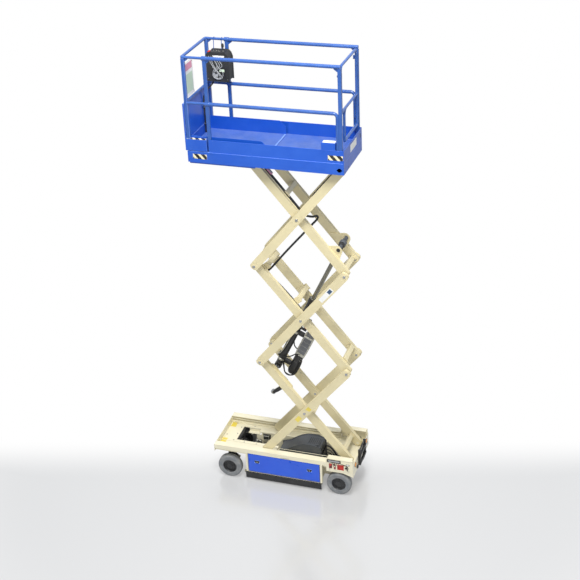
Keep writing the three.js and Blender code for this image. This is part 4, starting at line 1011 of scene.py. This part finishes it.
def make_extension():
    shape = Shape()
    floor, front, inner = DECK + 8, FRONT_END, 330
    # The extension's floor in the same blue, partly painted sheen.
    shape.box((0, front - 22), (-inner, inner), (floor, floor + 4), "deck", 1.2)
    # A pale blue strip along the floor's rear edge: a painted highlight.
    shape.box((-1, 16), (-inner + 2, inner - 2), (floor - 4, floor + 4.2), "trim", 1.2)
    tread(shape, (22, 945), (-315, 315), floor + 4, "deck")
    # Front panel: a flanged sheet with a rolled top and ribs on its outer face. The rolled top and a strip on
    # its inner face are pale blue, a painted highlight.
    shape.box((front - 19.6, front - 1), (-379.5, 379.5), (DECK + 5, MID_RAIL - 10.5), "blue", 3, 3)
    for y in (-190, 0, 190):
        shape.box((front - 3, front - 0.2), (y - 16, y + 16), (DECK + 120, MID_RAIL - 50), "blue", 1.2)
    shape.rod((front - 10, -372, MID_RAIL - 12.5), (front - 10, 372, MID_RAIL - 12.5), 6.5, "trim", 18)
    shape.box((front - 21.5, front - 19), (-372, 372), (DECK + 120, DECK + 126), "trim", 0.8)
    for side, _ in SIDES:
        toe = [(0, floor), (front - 10, floor), (front - 10, TOE + 22), (70, TOE + 22), (0, TOE - 50)]
        shape.slab(toe, mirror(side, inner - 4, inner), "blue", 1)
        edge = [Vector((a, side * (inner - 2), b)) for a, b in (toe[4], toe[3], toe[2])]
        shape.tube(rounded_path(edge, 20, 5), 3.4, "blue", 12)
        shape.box((MAIN_POST + 32, front - 1), mirror(side, inner - 1, 379.6), (DECK + 6, TOE),
                  "blue", 3.5, 3)
        for x in (4, MAIN_POST - 60):
            shape.box((x, x + 46), mirror(side, inner - 60, inner - 20), (DECK + 1, floor + 1),
                      "plastic", 1.5)
        y = side * RAIL_Y
        shape.box((front - 62, front - 22), mirror(side, 338, 372), (TOE - 1, TOP_RAIL - 10), "rail", 5, 3)
        for level in (TOP_RAIL, MID_RAIL):
            shape.rod((-280, y, level), (front - 62, y, level), 15.4, "rail", 32)
        shape.box((front - 66, front - 19), mirror(side, 333.5, 376), (TOE + 0.5, TOE + 7), "rail", 1.5)
    for level in (TOP_RAIL, MID_RAIL):
        corner = [(front - 70, RAIL_Y, level), (front - 30, RAIL_Y, level), (front - 30, -RAIL_Y, level),
                  (front - 70, -RAIL_Y, level)]
        rail_tube(shape, corner, 17 if level == TOP_RAIL else 15.6, 34)
    for side, _ in SIDES:
        corner = TOP_RAIL - 14
        x = front - 60
        outline = [(x, corner), (x - 44, corner), (x - 38, corner - 10), (x, corner - 40)]
        shape.slab(outline, mirror(side, 352, 358), "rail", 1.2)
    shape.build("extension_frame", "extension", ["extension_deck"])

    sign = Shape()
    # A blank placard between the front rails, and the labels on the corner housings.
    sign.box((front - 33, front - 30), (70, 318), (MID_RAIL + 30, MID_RAIL + 430), "white", 1)
    sign.box((front - 33.6, front - 32.8), (92, 296), (MID_RAIL + 330, MID_RAIL + 410), "pink", 0)
    sign.box((front - 33.6, front - 32.8), (92, 296), (MID_RAIL + 70, MID_RAIL + 290), "mint", 0)
    for level in (MID_RAIL + 60, MID_RAIL + 400):
        for y in (82, 306):
            sign.bolt((front - 33.2, y, level), (-1, 0, 0), 4)
    for level in (MID_RAIL + 36, MID_RAIL + 420):
        sign.rod((front - 28.5, 60, level), (front - 28.5, 340, level), 4.5, "rail", 14)
    for side, _ in SIDES:
        stripes(sign, (965, 378 if side > 0 else -332, TOE - 0.4), (-1, 0, 0), (0, -1, 0), (0, 0, 1), 240,
                44, 3)
    sign.build("extension_signs", "extension")


def make_control_box():
    """Drawn in a frame on the box's back, level with the top rail."""
    shape = Shape(Matrix.Translation((0, BOX_BACK, TOP_RAIL)))
    outline = [(612, -438), (878, -438), (883.5, -200), (880, -165), (866, -137), (846, -114.5),
               (820, -112.5), (674, -112.5), (648, -114.5), (626, -140), (611.5, -180)]
    shape.slab(outline, (0.5, 148), "plastic", 10, 4)
    for k in range(6):
        at = 664 + k * 31
        shape.box((at, at + 14), (10, 138), (-120, -112.2), "plastic", 3)
    # Lower half, its parting line, and the panel with switches on the sloping top.
    shape.box((610.5, 879.5), (0.6, 149), (-262, -254), "plastic", 2)
    shape.box((652, 792), (147, 149.4), (-170, -140), "white", 0.6)
    shape.box((640, 850), (147, 149.8), (-410, -280), "black", 2)
    shape.box((660, 720), (149.4, 149.9), (-330, -300), "mint", 0)
    shape.box((740, 800), (149.4, 149.9), (-390, -350), "grey", 0)
    for x in (628, 862):
        for z in (-200, -420):
            shape.turned([(5, -1), (5, 1.2), (3.5, 2)], (x, 147.5, z), (0, 1, 0), "zinc", 16)
    shape.turned([(16, 0), (16, 10), (21.5, 12), (21.5, 21), (18, 26)],
                 (850, 90, -130), (0.55, 0, 0.83), "red", 28)
    stick = [(690, 75, -114), (690, 75, -80), (694, 75, -50)]
    shape.turned([(24, 0), (24, 6), (18, 12), (10, 22)], (690, 75, -114), (0, 0, 1), "plastic", 28)
    shape.tube(smooth_path(stick, 4), 7.5, "black", 16)
    shape.turned([(10, 0), (15, 6), (16, 30), (12, 44), (6, 48)], (692, 75, -66), (0.03, 0, 1), "black", 28)
    for k in range(3):
        at = 742 + k * 30
        shape.turned([(7, 0), (7, 4), (3, 5), (2.6, 18)], (at, 75, -113), (0.1, 0, 1), "zinc", 16)
    # Pale looped cables tied in front of the box.
    face = 153
    for shift, drop in ((0, 0), (30, 22), (58, -12)):
        loop = [(845 - shift, face - 4, -150), (828 - shift, face, -215 - drop),
                (786 - shift, face, -290 - drop), (738 - shift, face, -345 - drop),
                (716 - shift * 0.5, face, -392), (752 - shift * 0.5, face, -418),
                (800 - shift * 0.5, face, -385), (792 - shift * 0.5, face, -320), (744 - shift, face, -262),
                (772 - shift, face, -205), (815 - shift, face, -178)]
        shape.tube(smooth_path(loop, 6), 3.8, "grey", 10)
    shape.box((748, 776), (face - 6, face + 4.5), (-352, -336), "black", 1)
    back = -RAIL_Y + 15.8 - BOX_BACK
    over = 15.8
    for x in (736, 832):
        hook = [(x, 6, -165), (x, back + 6.2, -20), (x, back + 6.2, over + 3.8), (x, back - 20, over + 3.8)]
        shape.tube(rounded_path(hook, 12, 5), 4.2, "rail", 14)
        shape.box((x - 12, x + 12), (-1.5, 3), (-215, -150), "black", 1)
    shape.build("control_station", "extension", ["platform_control_box"])

    # The harness from the box, clipped to the front panel's inner face down to the floor.
    lead = Shape()
    route = [(830, BOX_BACK + 70, TOP_RAIL - 436), (845, BOX_BACK + 80, TOP_RAIL - 500),
             (900, BOX_BACK + 120, MID_RAIL - 40), (940, BOX_BACK + 140, MID_RAIL - 120),
             (943, -182, MID_RAIL - 260), (943, -180, DECK + 80), (943, -180, DECK + 18)]
    path = smooth_path(route, 14)
    lead.tube(path, 8.5, "hose", 14)
    for k in range(4, len(path) - 4, 2):
        lead.ring(path[k], path[k + 1] - path[k - 1], 8.8, 1.2, "hose", 18, 6)
    for z in (MID_RAIL - 250, DECK + 120):
        lead.box((932, 955.5), (-200, -162), (z, z + 14), "zinc", 2)
    lead.build("control_lead", "extension")


make_guardrails()
make_gate()
make_platform_details()
make_extension()
make_control_box()

# ---- Chassis ---------------------------------------------------------------------------------------


def make_chassis_details():
    # Pieces on the chassis take its paler cream, whose lightness is a painted highlight.
    trim = Shape()
    for side, _ in SIDES:
        out = (0, side, 0)
        # Folded lip along the channel's outer edge, and its rounded corner at the front.
        trim.rod((-575, side * 375.5, LIP_Z), (932, side * 375.5, LIP_Z), 3.6, "frame", 14)
        trim.rod((-575, side * 250, LIP_Z), (932, side * 250, LIP_Z), 3, "frame", 14)
        # White curved edges at the ends of the door opening.
        curve = [(376.5, 202), (379.8, 202), (379.4, 170), (377, 150), (372.5, 136), (369, 137), (373.5, 152),
                 (376.2, 172)]
        for x in (492, -512):
            edge = [(x, side * y, z) for y, z in ((376.5, 418), (377.2, 260), (376.8, 200), (372, 138))]
            trim.tube(smooth_path(edge, 8), 3, "white", 12)
            trim.box((x - 10, x + 10), mirror(side, 376.5, 379.8), (200, 420), "white", 1.4)
            trim.slab([(side * y, z) for y, z in curve], (x - 10, x + 10), "white", 0.6, axis="x")
        # Black sill under the door and its end blocks.
        trim.box((-517.5, 531.5), mirror(side, 356, 379.5), (133.5, 142.5), "black", 2)
        for x in (526, -512):
            trim.box((x - 6.8, x + 6.8), mirror(side, 351.5, 372.5), (109, 140.5), "black", 1.5)
        # Tie-down eyes at the front, each hole filled with a black disc that is painted shade, and the bolts
        # of the bottom pivots' brackets.
        trim.turned([(20, -2), (20, 1.2), (13, 1.4), (13, -2)], (700, side * 378.8, 453.5), out, "frame", 32)
        trim.turned([(12.5, -2), (12.5, 0.3)], (700, side * 379, 453.5), out, "black", 28)
        trim.turned([(16.5, 0), (16.5, 5.5), (14.5, 7)], (-846, side * 298.5, 440), out, "steel", 28)
        trim.box((-852, -816), mirror(side, 298.5, 303.5), (434, 446), "frame", 1)
        trim.bolt((-823, side * 303, 440), out, 4.5)
        for x in (-888, -800):
            trim.box((x - 4, x + 4), mirror(side, 286, 298), (386, 402), "frame", 2)
    # Front plate: two slots, each a flat black sheet of painted shade in a raised frame, a blank plate and
    # its bolts.
    for y in (-300, 300):
        trim.box((933.5, 935.2), (y - 34, y + 34), (420, 448), "frame", 0.8)
        trim.box((934, 935.35), (y - 26, y + 26), (426, 442), "black", 0)
    trim.box((934.5, 935.35), (-85, 85), (412, 458), "white", 0)
    for y in (-200, -130, 130, 200):
        trim.turned([(7, -1), (7, 0.3)], (935, y, 402), (1, 0, 0), "zinc", 16)
    trim.rod((931.5, -372, LIP_Z), (931.5, 372, LIP_Z), 3.4, "frame", 14)
    trim.rod((-932, -372, LIP_Z), (-932, 372, LIP_Z), 3, "frame", 14)
    # Deck: raised rim round the opening, fixing screws and yellow labels; and a label on the left side.
    rim = [(150, 79.5), (738, 79.5), (738, -225.5), (497, -225.5), (497, -164), (-700, -164)]
    for start, end in [*zip(rim, rim[1:]), ((-700, 164), (150, 164))]:
        trim.rod((*start, 387.5), (*end, 387.5), 2.6, "frame", 10)
    for x, y in ((770, 100), (770, -50), (770, -200), (620, 110), (450, 110), (280, 110), (850, 270),
                 (850, -270), (600, -262), (900, 0), (600, 262)):
        trim.bolt((x, y, 387.8), (0, 0, 1), 6.8, "zinc")
    for x, y in ((884, -236), (893, 125)):
        trim.box((x - 34, x + 34), (y - 50, y + 50), (387.8, 388.5), "yellow", 0)
    trim.box((-90, 30), (377.5, 380), (431, 438), "yellow", 0)
    trim.build("chassis_trim", "root")

    # Cabinets at the rear: seams, hinges, vents, and on the left the ground controls.
    for side, word in SIDES:
        box = Shape()
        face = 374.5
        out = (0, side, 0)
        box.box((-905, -605), mirror(side, face - 1, face + 1.6), (372, 508), "frame", 1.2)
        box.box((-920, -596), mirror(side, 300, 374.2), (546.2, 548.5), "frame", 1)
        for x in (-880, -630):
            for z in (388, 495):
                box.turned([(7.5, 0), (7.5, 2.4), (5.5, 3.4)], (x, side * (face + 1.4), z), out, "zinc", 18)
        box.rod((-900, side * 373.5, 543.5), (-620, side * 373.5, 543.5), 4.2, "frame", 14)
        if side > 0:
            y = face + 1.4
            box.box((-777, -594), (y - 0.5, y + 3), (487, 536), "black", 1.2)
            box.box((-760, -612), (y + 2.6, y + 3.4), (500.5, 522.5), "grey", 0)
            box.turned([(11, 1), (11, 2.4), (24, 2.8), (24, 3.6), (19, 4)], (-774, y, 432), out, "red", 32)
            box.box((-815, -728), (y - 0.6, y + 1.2), (392, 474), "red", 0.4)
            box.ring((-774, y + 1.2, 432), out, 31, 1.2, "black", 36)
            box.turned([(13, 0), (13, 2.2), (10, 3.6)], (-640, y, 452), out, "red", 24)
            box.turned([(10, 0), (10, 2.5), (8.5, 3.8)], (-640, y, 418), out, "black", 24)
            box.box((-662, -618), (y - 0.6, y + 0.8), (398, 474), "maroon", 0.4)
            box.box((-890, -842), (y - 0.6, y + 1.2), (472, 496), "black", 0.4)
            box.box((-884, -848), (y + 0.9, y + 1.6), (478, 490), "white", 0)
            box.box((-708, -676), (y - 0.6, y + 3), (446, 480), "black", 1)
            box.box((-706, -682), (y - 0.6, y + 3), (392, 430), "maroon", 1)
            box.turned([(15, 0), (15, 2.4), (12, 3.8)], (-842, y, 432), out, "black", 24)
            for drop in (0, 12, 24):
                wire = [(-800 + drop, y + 3, 486), (-815 - drop, y + 3, 474), (-850, y + 3, 466),
                        (-872 + drop, y + 3, 440), (-862, y + 3, 404 - drop * 0.5)]
                box.tube(smooth_path(wire, 6), 2.8, "hose", 8)
            for k, start in enumerate((-742, -716, -690, -664)):
                wire = [(start, y + 2.8, 488), (start - 8, y + 2.8, 470), (start + 10, y + 2.8, 440),
                        (start - 6 + 10 * (k % 2), y + 2.8, 404)]
                box.tube(smooth_path(wire, 6), 2.4, "hose" if k % 2 else "maroon", 8)
        else:
            y = face + 1.4
            for k in range(7):
                z = 400 + k * 12
                box.box((-830, -670), (-(y + 2.2), -(y - 0.6)), (z, z + 5), "frame", 1)
            box.box((-800, -730), (-(y + 3), -(y - 0.6)), (492, 512), "black", 1.2)
            box.turned([(16, 0), (16, 2.2), (12, 3.6)], (-640, -y, 505), out, "black", 24)
        box.build(f"{word}_cabinet_details", "root")

    # Rear end: ladder treads, lamp lenses, blank plate and charging socket.
    rear = Shape()
    for z in (352, 470):
        for k in range(12):
            y = -121 + k * 22
            rear.turned([(6.2, -0.5), (6.2, 1.1), (4, 1.5)], (-961.5, y, z + 26), (0, 0, 1), "black", 12)
        rear.rod((-974, -128, z + 24.5), (-974, 128, z + 24.5), 1.2, "zinc", 8)
    rear.box((-936.5, -934.5), (-335, -225), (330, 380), "black", 1.5)
    rear.box((-937, -936.2), (-325, -235), (337, 373), "white", 0)
    for y in (-265, 265):
        rear.turned([(30, 0), (30, 4), (26, 8.5), (14, 10.5)], (-935, y, 432), (-1, 0, 0), "glass", 36)
        rear.turned([(33, -1), (33, 3), (30, 3.6)], (-935, y, 432), (-1, 0, 0), "black", 36)
    rear.turned([(23.5, 0), (23.5, 10), (26, 11), (26, 16), (22, 18)], (-935, 190, 350),
                (-1, 0, 0), "black", 32)
    for y in (-180, 180):
        for z in (330, 455):
            rear.bolt((-935, y, z), (-1, 0, 0), 7.5)
    rear.build("rear_end_details", "root")


def make_hydraulics():
    well = Shape()
    floor = 146.4
    well.box((250, 440), (-150, -40), (floor, 250), "steel", 4, 3)
    for x, radius in ((300, 30), (390, 22)):
        well.turned([(radius * 0.7, 0), (radius, 1), (radius, 6), (radius * 0.86, 8), (radius * 0.86, 22),
                     (radius * 0.7, 24.5)], (x, -95, 243.5), (0, 0, 1), "zinc", 32)
    for x in (268, 345, 424):
        well.turned([(8.5, 0), (8.5, 12), (6, 14)], (x, -56, 249), (0, 0, 1), "zinc", 6)
    well.build("valve_manifold", "root", ["valve_block"])

    fittings = Shape()
    for y in (-130, -95, -62):
        fittings.turned([(10, 0), (10, 10), (7.5, 12), (7.5, 22)], (439, y, 205), (1, 0, 0), "zinc", 6)
    # Solenoid stacks, relays and a black contactor box at the front of the opening.
    for x in (475, 515):
        fittings.turned([(19, 0), (21, 2), (21, 60), (18, 63), (9, 64), (9, 78)],
                        (x, -112, 236), (0, 0, 1), "zinc", 30)
        fittings.box((x - 16, x + 16), (-105, -70), (255, 285), "black", 3)
    fittings.box((462, 545), (-150, -70), (160, 238), "rust", 4)
    fittings.box((452, 545), (-156, -60), (146.2, 162), "black", 2)
    fittings.box((470, 545), (-160, -150), (146.2, 200), "black", 2)
    fittings.box((345, 450), (-162, -156), (290, 372), "black", 2)
    fittings.box((360, 436), (-158, -120), (305, 362), "plastic", 5, 3)
    # The folded wall and shelf between the opening and the right front wheel's space.
    for x, finish in (((498.5, 660), "frame"), ((660, 720), "black")):
        fittings.box(x, (-224.5, -163), (341, 345), finish, 1)
        fittings.box(x, (-225, -221.5), (341, 384), finish, 1)
    fittings.box((462, 545), (-166, -162.5), (150, 342), "frame", 1)
    fittings.build("front_well_fittings", "root")

    lines = Shape()
    routes = [[(461, -130, 205), (500, -60, 215), (560, -30, 250), (620, -20, 285), (660, -50, 315),
               (665, -80, 305)], [(461, -95, 205), (510, -20, 205), (600, 20, 235), (680, 0, 285),
                                  (705, -60, 300), (698, -110, 290)],
              [(461, -62, 205), (500, -30, 190), (460, -12, 178), (300, 0, 170), (180, 20, 180),
               (140, 30, 200)], [(300, -40, 195), (300, -5, 200), (250, 20, 215), (180, 0, 225),
                                 (130, -20, 240)], [(370, -40, 215), (370, 0, 235), (300, 30, 245),
                                                    (200, 40, 235), (130, 40, 240)],
              [(560, -100, 180), (600, -40, 170), (620, 30, 165), (560, 70, 162), (440, 75, 160)]]
    for route in routes:
        lines.tube(smooth_path(route, 8), 8.8, "hose", 12)
    for route in routes[:3]:
        lines.turned([(9.5, 0), (9.5, 18)], route[0], (1, 0, 0), "zinc", 6)
    lines.build("front_well_hoses", "root")

    # Hoses and wires behind the controller cover, up to the back of the well.
    back = Shape()
    for k, (y, lift) in enumerate(((-80, 100), (-40, 140), (20, 120), (60, 80), (100, 50))):
        route = [(-425, y, 360), (-470, y + 10, 360 + lift * 0.5), (-540, y * 0.7, 340 + lift * 0.4),
                 (-610, y * 0.6, 290), (-660, y * 0.6, 250), (-690, y * 0.6, 235)]
        back.tube(smooth_path(route, 8), 7.5 if k < 3 else 5.5, "hose", 12)
    back.box((-640, -470), (-120, 110), (146.5, 240), "black", 6, 3)
    for x in (-600, -540, -500):
        back.turned([(12, 0), (12, 14), (9, 18)], (x, 30, 239), (0, 0, 1), "zinc", 6)
    back.box((-700, -694), (-100, 100), (250, 370), "black", 2)
    back.build("rear_well_hoses", "root")

    cover = Shape()
    outline = [(149.5, 330), (40, 368), (0, 396), (-60, 440), (-120, 473), (-190, 499), (-240, 506),
               (-328, 508), (-350, 503), (-418, 479), (-428, 460), (-429.5, 146.8), (149.5, 146.8)]
    cover.slab(outline, (-119.5, 129.5), "cover", 14, 4)
    cover.slab([(120, 336), (34, 366), (-70, 437), (-190, 494), (-190, 482), (-66, 424),
                (40, 352), (120, 322)], (127.5, 130), "cover", 1)
    cover.box((-400, -240), (-80, 90), (496, 507.5), "cover", 3, 3)
    for k in range(6):
        at = -390 + k * 25
        cover.box((at, at + 10), (-60, 70), (507, 509), "black", 0.6)
    for x in (-400, -100, 90):
        for y in (-119, 129):
            cover.bolt((x, y, 200), (0, 1 if y > 0 else -1, 0), 5.5)
    cover.build("drive_cover", "root", ["controller_cover"])


def make_running_gear():
    for side, word in SIDES:
        out = (0, side, 0)
        shape = Shape(Matrix.Translation((WHEEL_X, 0, AXLE_Z)))
        low = PIVOT_Z - AXLE_Z
        arm = [(-60, -50), (-40, -62), (40, -62), (60, -50),
               (60, 60), (34, low - 1), (-34, low - 1), (-60, 60)]
        shape.slab(arm, mirror(side, 234, 272), "black", 6, 3)
        kingpin = side * KINGPIN_Y
        shape.rod((0, kingpin, low - 20), (0, kingpin, 375.5 - AXLE_Z), 15.8, "steel", 28)
        shape.turned([(32, 0), (32, 6), (28, 9)], (0, kingpin, low - 10), (0, 0, 1), "black", 32)
        motor = [(30, 0), (50, 2), (57.5, 10), (57.5, 40), (54, 44), (54, 52), (57.8, 56), (57.8, 128)]
        shape.turned(motor, (0, side * 130, 0), out, "black", 48)
        for c, s in circle(6):
            shape.turned([(5, -2), (5, -10)], (44 * c, side * 140.5, 44 * s), out, "zinc", 6)
        for step in (-18, 18):
            shape.turned([(8.5, 0), (8.5, 12)], (step, side * 170, 54), (0, 0, 1), "zinc", 6)
            hose = [(step, side * 170, 62), (step * 1.2, side * 168, 110),
                    (step - 20, side * 190, 150), (step - 30, side * 225, 152)]
            shape.tube(smooth_path(hose, 8), 6.5, "hose", 12)
        shape.rod((0, side * 260, 0), (0, side * 349.5, 0), 19.8, "steel", 32)
        shape.box((-50, 50), mirror(side, 225, 240), (50, 62), "black", 2)
        # The steering arm, ahead of the kingpin.
        shape.box((-110, -55), mirror(side, 240, 262), (85, 97), "black", 3)
        shape.turned([(14, 0), (14, 12), (10, 16)], (-98, side * 251, 96), (0, 0, 1), "zinc", 24)
        shape.build(f"{word}_steering_unit", f"{word}_steering", [f"steering_knuckle_{word}"])

    gear = Shape()
    for side, _ in SIDES:
        gear.turned([(24, -2), (24, 2.2), (21.5, 4)], (WHEEL_X, side * KINGPIN_Y, PIVOT_Z), (0, 0, -1),
                    "zinc", 28)
        for x in (-765, -715):
            gear.bolt((x, side * 218, 186.5), (0, 0, 1), 7.5)
        gear.turned([(30, 0), (30, 10), (26, 14)], (-WHEEL_X, side * 235, AXLE_Z), (0, side, 0), "black", 32)
        gear.rod((-WHEEL_X, side * 236, AXLE_Z), (-WHEEL_X, side * 349, AXLE_Z), 20, "steel", 28)
        # Grease nipples over the kingpins.
        gear.turned([(4, 0), (4, 4)], (715, side * 262, 381.8), (0, 0, -1), "zinc", 8)
    gear.box((704.5, 706), (-205, 205), (345, 372), "black", 0.6)
    gear.build("axle_fittings", "root")


def make_doors_and_trays():
    for side, word in SIDES:
        out = (0, side, 0)
        door = Shape()
        # Raised surround and pull in each latch recess, an embossed edge and the hinge barrels.
        for x in (352, -356):
            # Dished surround in pale blue, a painted highlight; a dark blue cup, painted shade; and the pull
            # with its lock, with a pale blue bar across the pull as a painted highlight.
            door.turned([(52, 0), (66, 0.6), (76, 3), (71, 3.6), (60, 2.8)],
                        (x, side * 376.2, 307.5), out, "trim", 48)
            door.turned([(61, 0), (61, 3.2), (50, 3), (44, 1.4)], (x, side * 376.5, 307.5), out, "shade_blue", 44)
            door.slab([(x - 40, 340), (x - 40, 325), (x - 12, 276), (x + 10, 270),
                       (x + 36, 318), (x + 36, 340)], mirror(side, 376.5, 379.6), "black", 1)
            door.box((x - 34, x + 30), mirror(side, 379, 379.9), (326, 336), "trim", 0.3)
            door.turned([(8.5, 0), (8.5, 3)], (x, side * 376.9, 302), out, "zinc", 20)
        # The embossed edge here and the stiffeners below take the doors' brighter blue, painted light against
        # their shade.
        for z in (172, 402):
            door.rod((-478, side * 377.1, z), (458, side * 377.1, z), 2.6, "door", 10)
        for x in (-478, 458):
            door.rod((x, side * 377.1, 172), (x, side * 377.1, 402), 2.6, "door", 10)
        for z in (150, 402.5):
            door.turned([(4.2, 0), (7, 0), (7, 15), (4.2, 15)], (462, side * 372, z),
                        (0, 0, 1), "zinc", 20, closed=True)
        for x in (-400, -150, 100, 350):
            door.box((x - 12, x + 12), mirror(side, 350.5, 366.5), (164, 390), "door", 2)
        door.build(f"{word}_door_fittings", f"{word}_side_door")

        guard = Shape()
        y = side * 362
        guard.rod((-505.5, y, 120), (519.5, y, 120), 9.4, "black", 20)
        for k in range(5):
            x = -420 + k * 210
            guard.box((x - 30, x + 30), mirror(side, 355.2, 369), (96, 108), "black", 2)
            guard.turned([(5.5, 0), (5.5, 1.2), (4, 2)], (x, side * 368.6, 102), out, "black", 12)
        guard.box((-504, 518), mirror(side, 368, 369.2), (38, 44), "black", 0.8)
        guard.build(f"{word}_guard_fittings", f"{word}_guard")

        tray = Shape()
        for end in (-1, 1):
            for row in (205, 285):
                for k in range(3):
                    x = end * 226 - 130 + k * 130
                    tray.turned([(21, -1), (21, 6), (17, 10), (8, 11)],
                                (x, side * row, 336.2), (0, 0, 1), "plastic", 24)
            for step in (-190, 190):
                x = end * 226 + step
                tray.turned([(10, -1), (9, 16), (7, 18)], (x, side * 245, 336.2), (0, 0, 1), "zinc", 18)
            seam = end * 226
            tray.box((seam - 216, seam + 216), mirror(side, 175.5, 336.5), (312, 315), "battery", 1)
        link = [(-36, side * 245, 350), (-15, side * 245, 366), (15, side * 245, 366), (36, side * 245, 350)]
        tray.tube(smooth_path(link, 6), 7, "hose", 12)
        for end in (-1, 1):
            lead = [(end * 416, side * 245, 350), (end * 424, side * 250, 368), (end * 400, side * 215, 372),
                    (end * 300, side * 186, 360)]
            tray.tube(smooth_path(lead, 6), 7, "hose", 12)
        tray.build(f"{word}_battery_fittings", "root")


make_chassis_details()
make_hydraulics()
make_running_gear()
make_doors_and_trays()

# The chassis and its cabinets take the paler cream, a painted highlight of the strong light from above.
NODE_LOOK = {"chassis_frame": "frame", "ground_control_cabinet": "frame", "charger_cabinet": "frame",
             "boarding_ladder": "black", "battery_pack": "battery", "controller_cover": "cover",
             "valve_block": "steel", "front_axle": "black", "rear_axle": "black", "steering_knuckle": "black",
             # The doors take the brighter blue, painted light that offsets their shade.
             "tyre": "tyre", "wheel": "hub", "door": "door", "pothole_guard": "black", "inner_frame": "cream",
             "guard_cam_roller": "steel", "outer_arm": "cream", "cylinder_barrel": "black",
             "cylinder_rod": "steel", "pump_motor": "black", "oil_tank": "tank", "platform_deck": "blue",
             "guardrail": "rail", "entry_gate": "rail", "extension_deck": "blue", "control_box": "plastic"}
WELD_METRES = 0.00005
EDGE_METRES = 0.0018
for name, node in frame["nodes"].items():
    key = next(v for k, v in NODE_LOOK.items() if k in name)
    node.data.materials.clear()
    node.data.materials.append(look[key])
    weld = node.modifiers.new("weld", "WELD")
    weld.merge_threshold = WELD_METRES
    bevel = node.modifiers.new("bevel", "BEVEL")
    bevel.width = EDGE_METRES
    bevel.segments = 2
    bevel.limit_method = "ANGLE"
    bevel.angle_limit = math.radians(40)
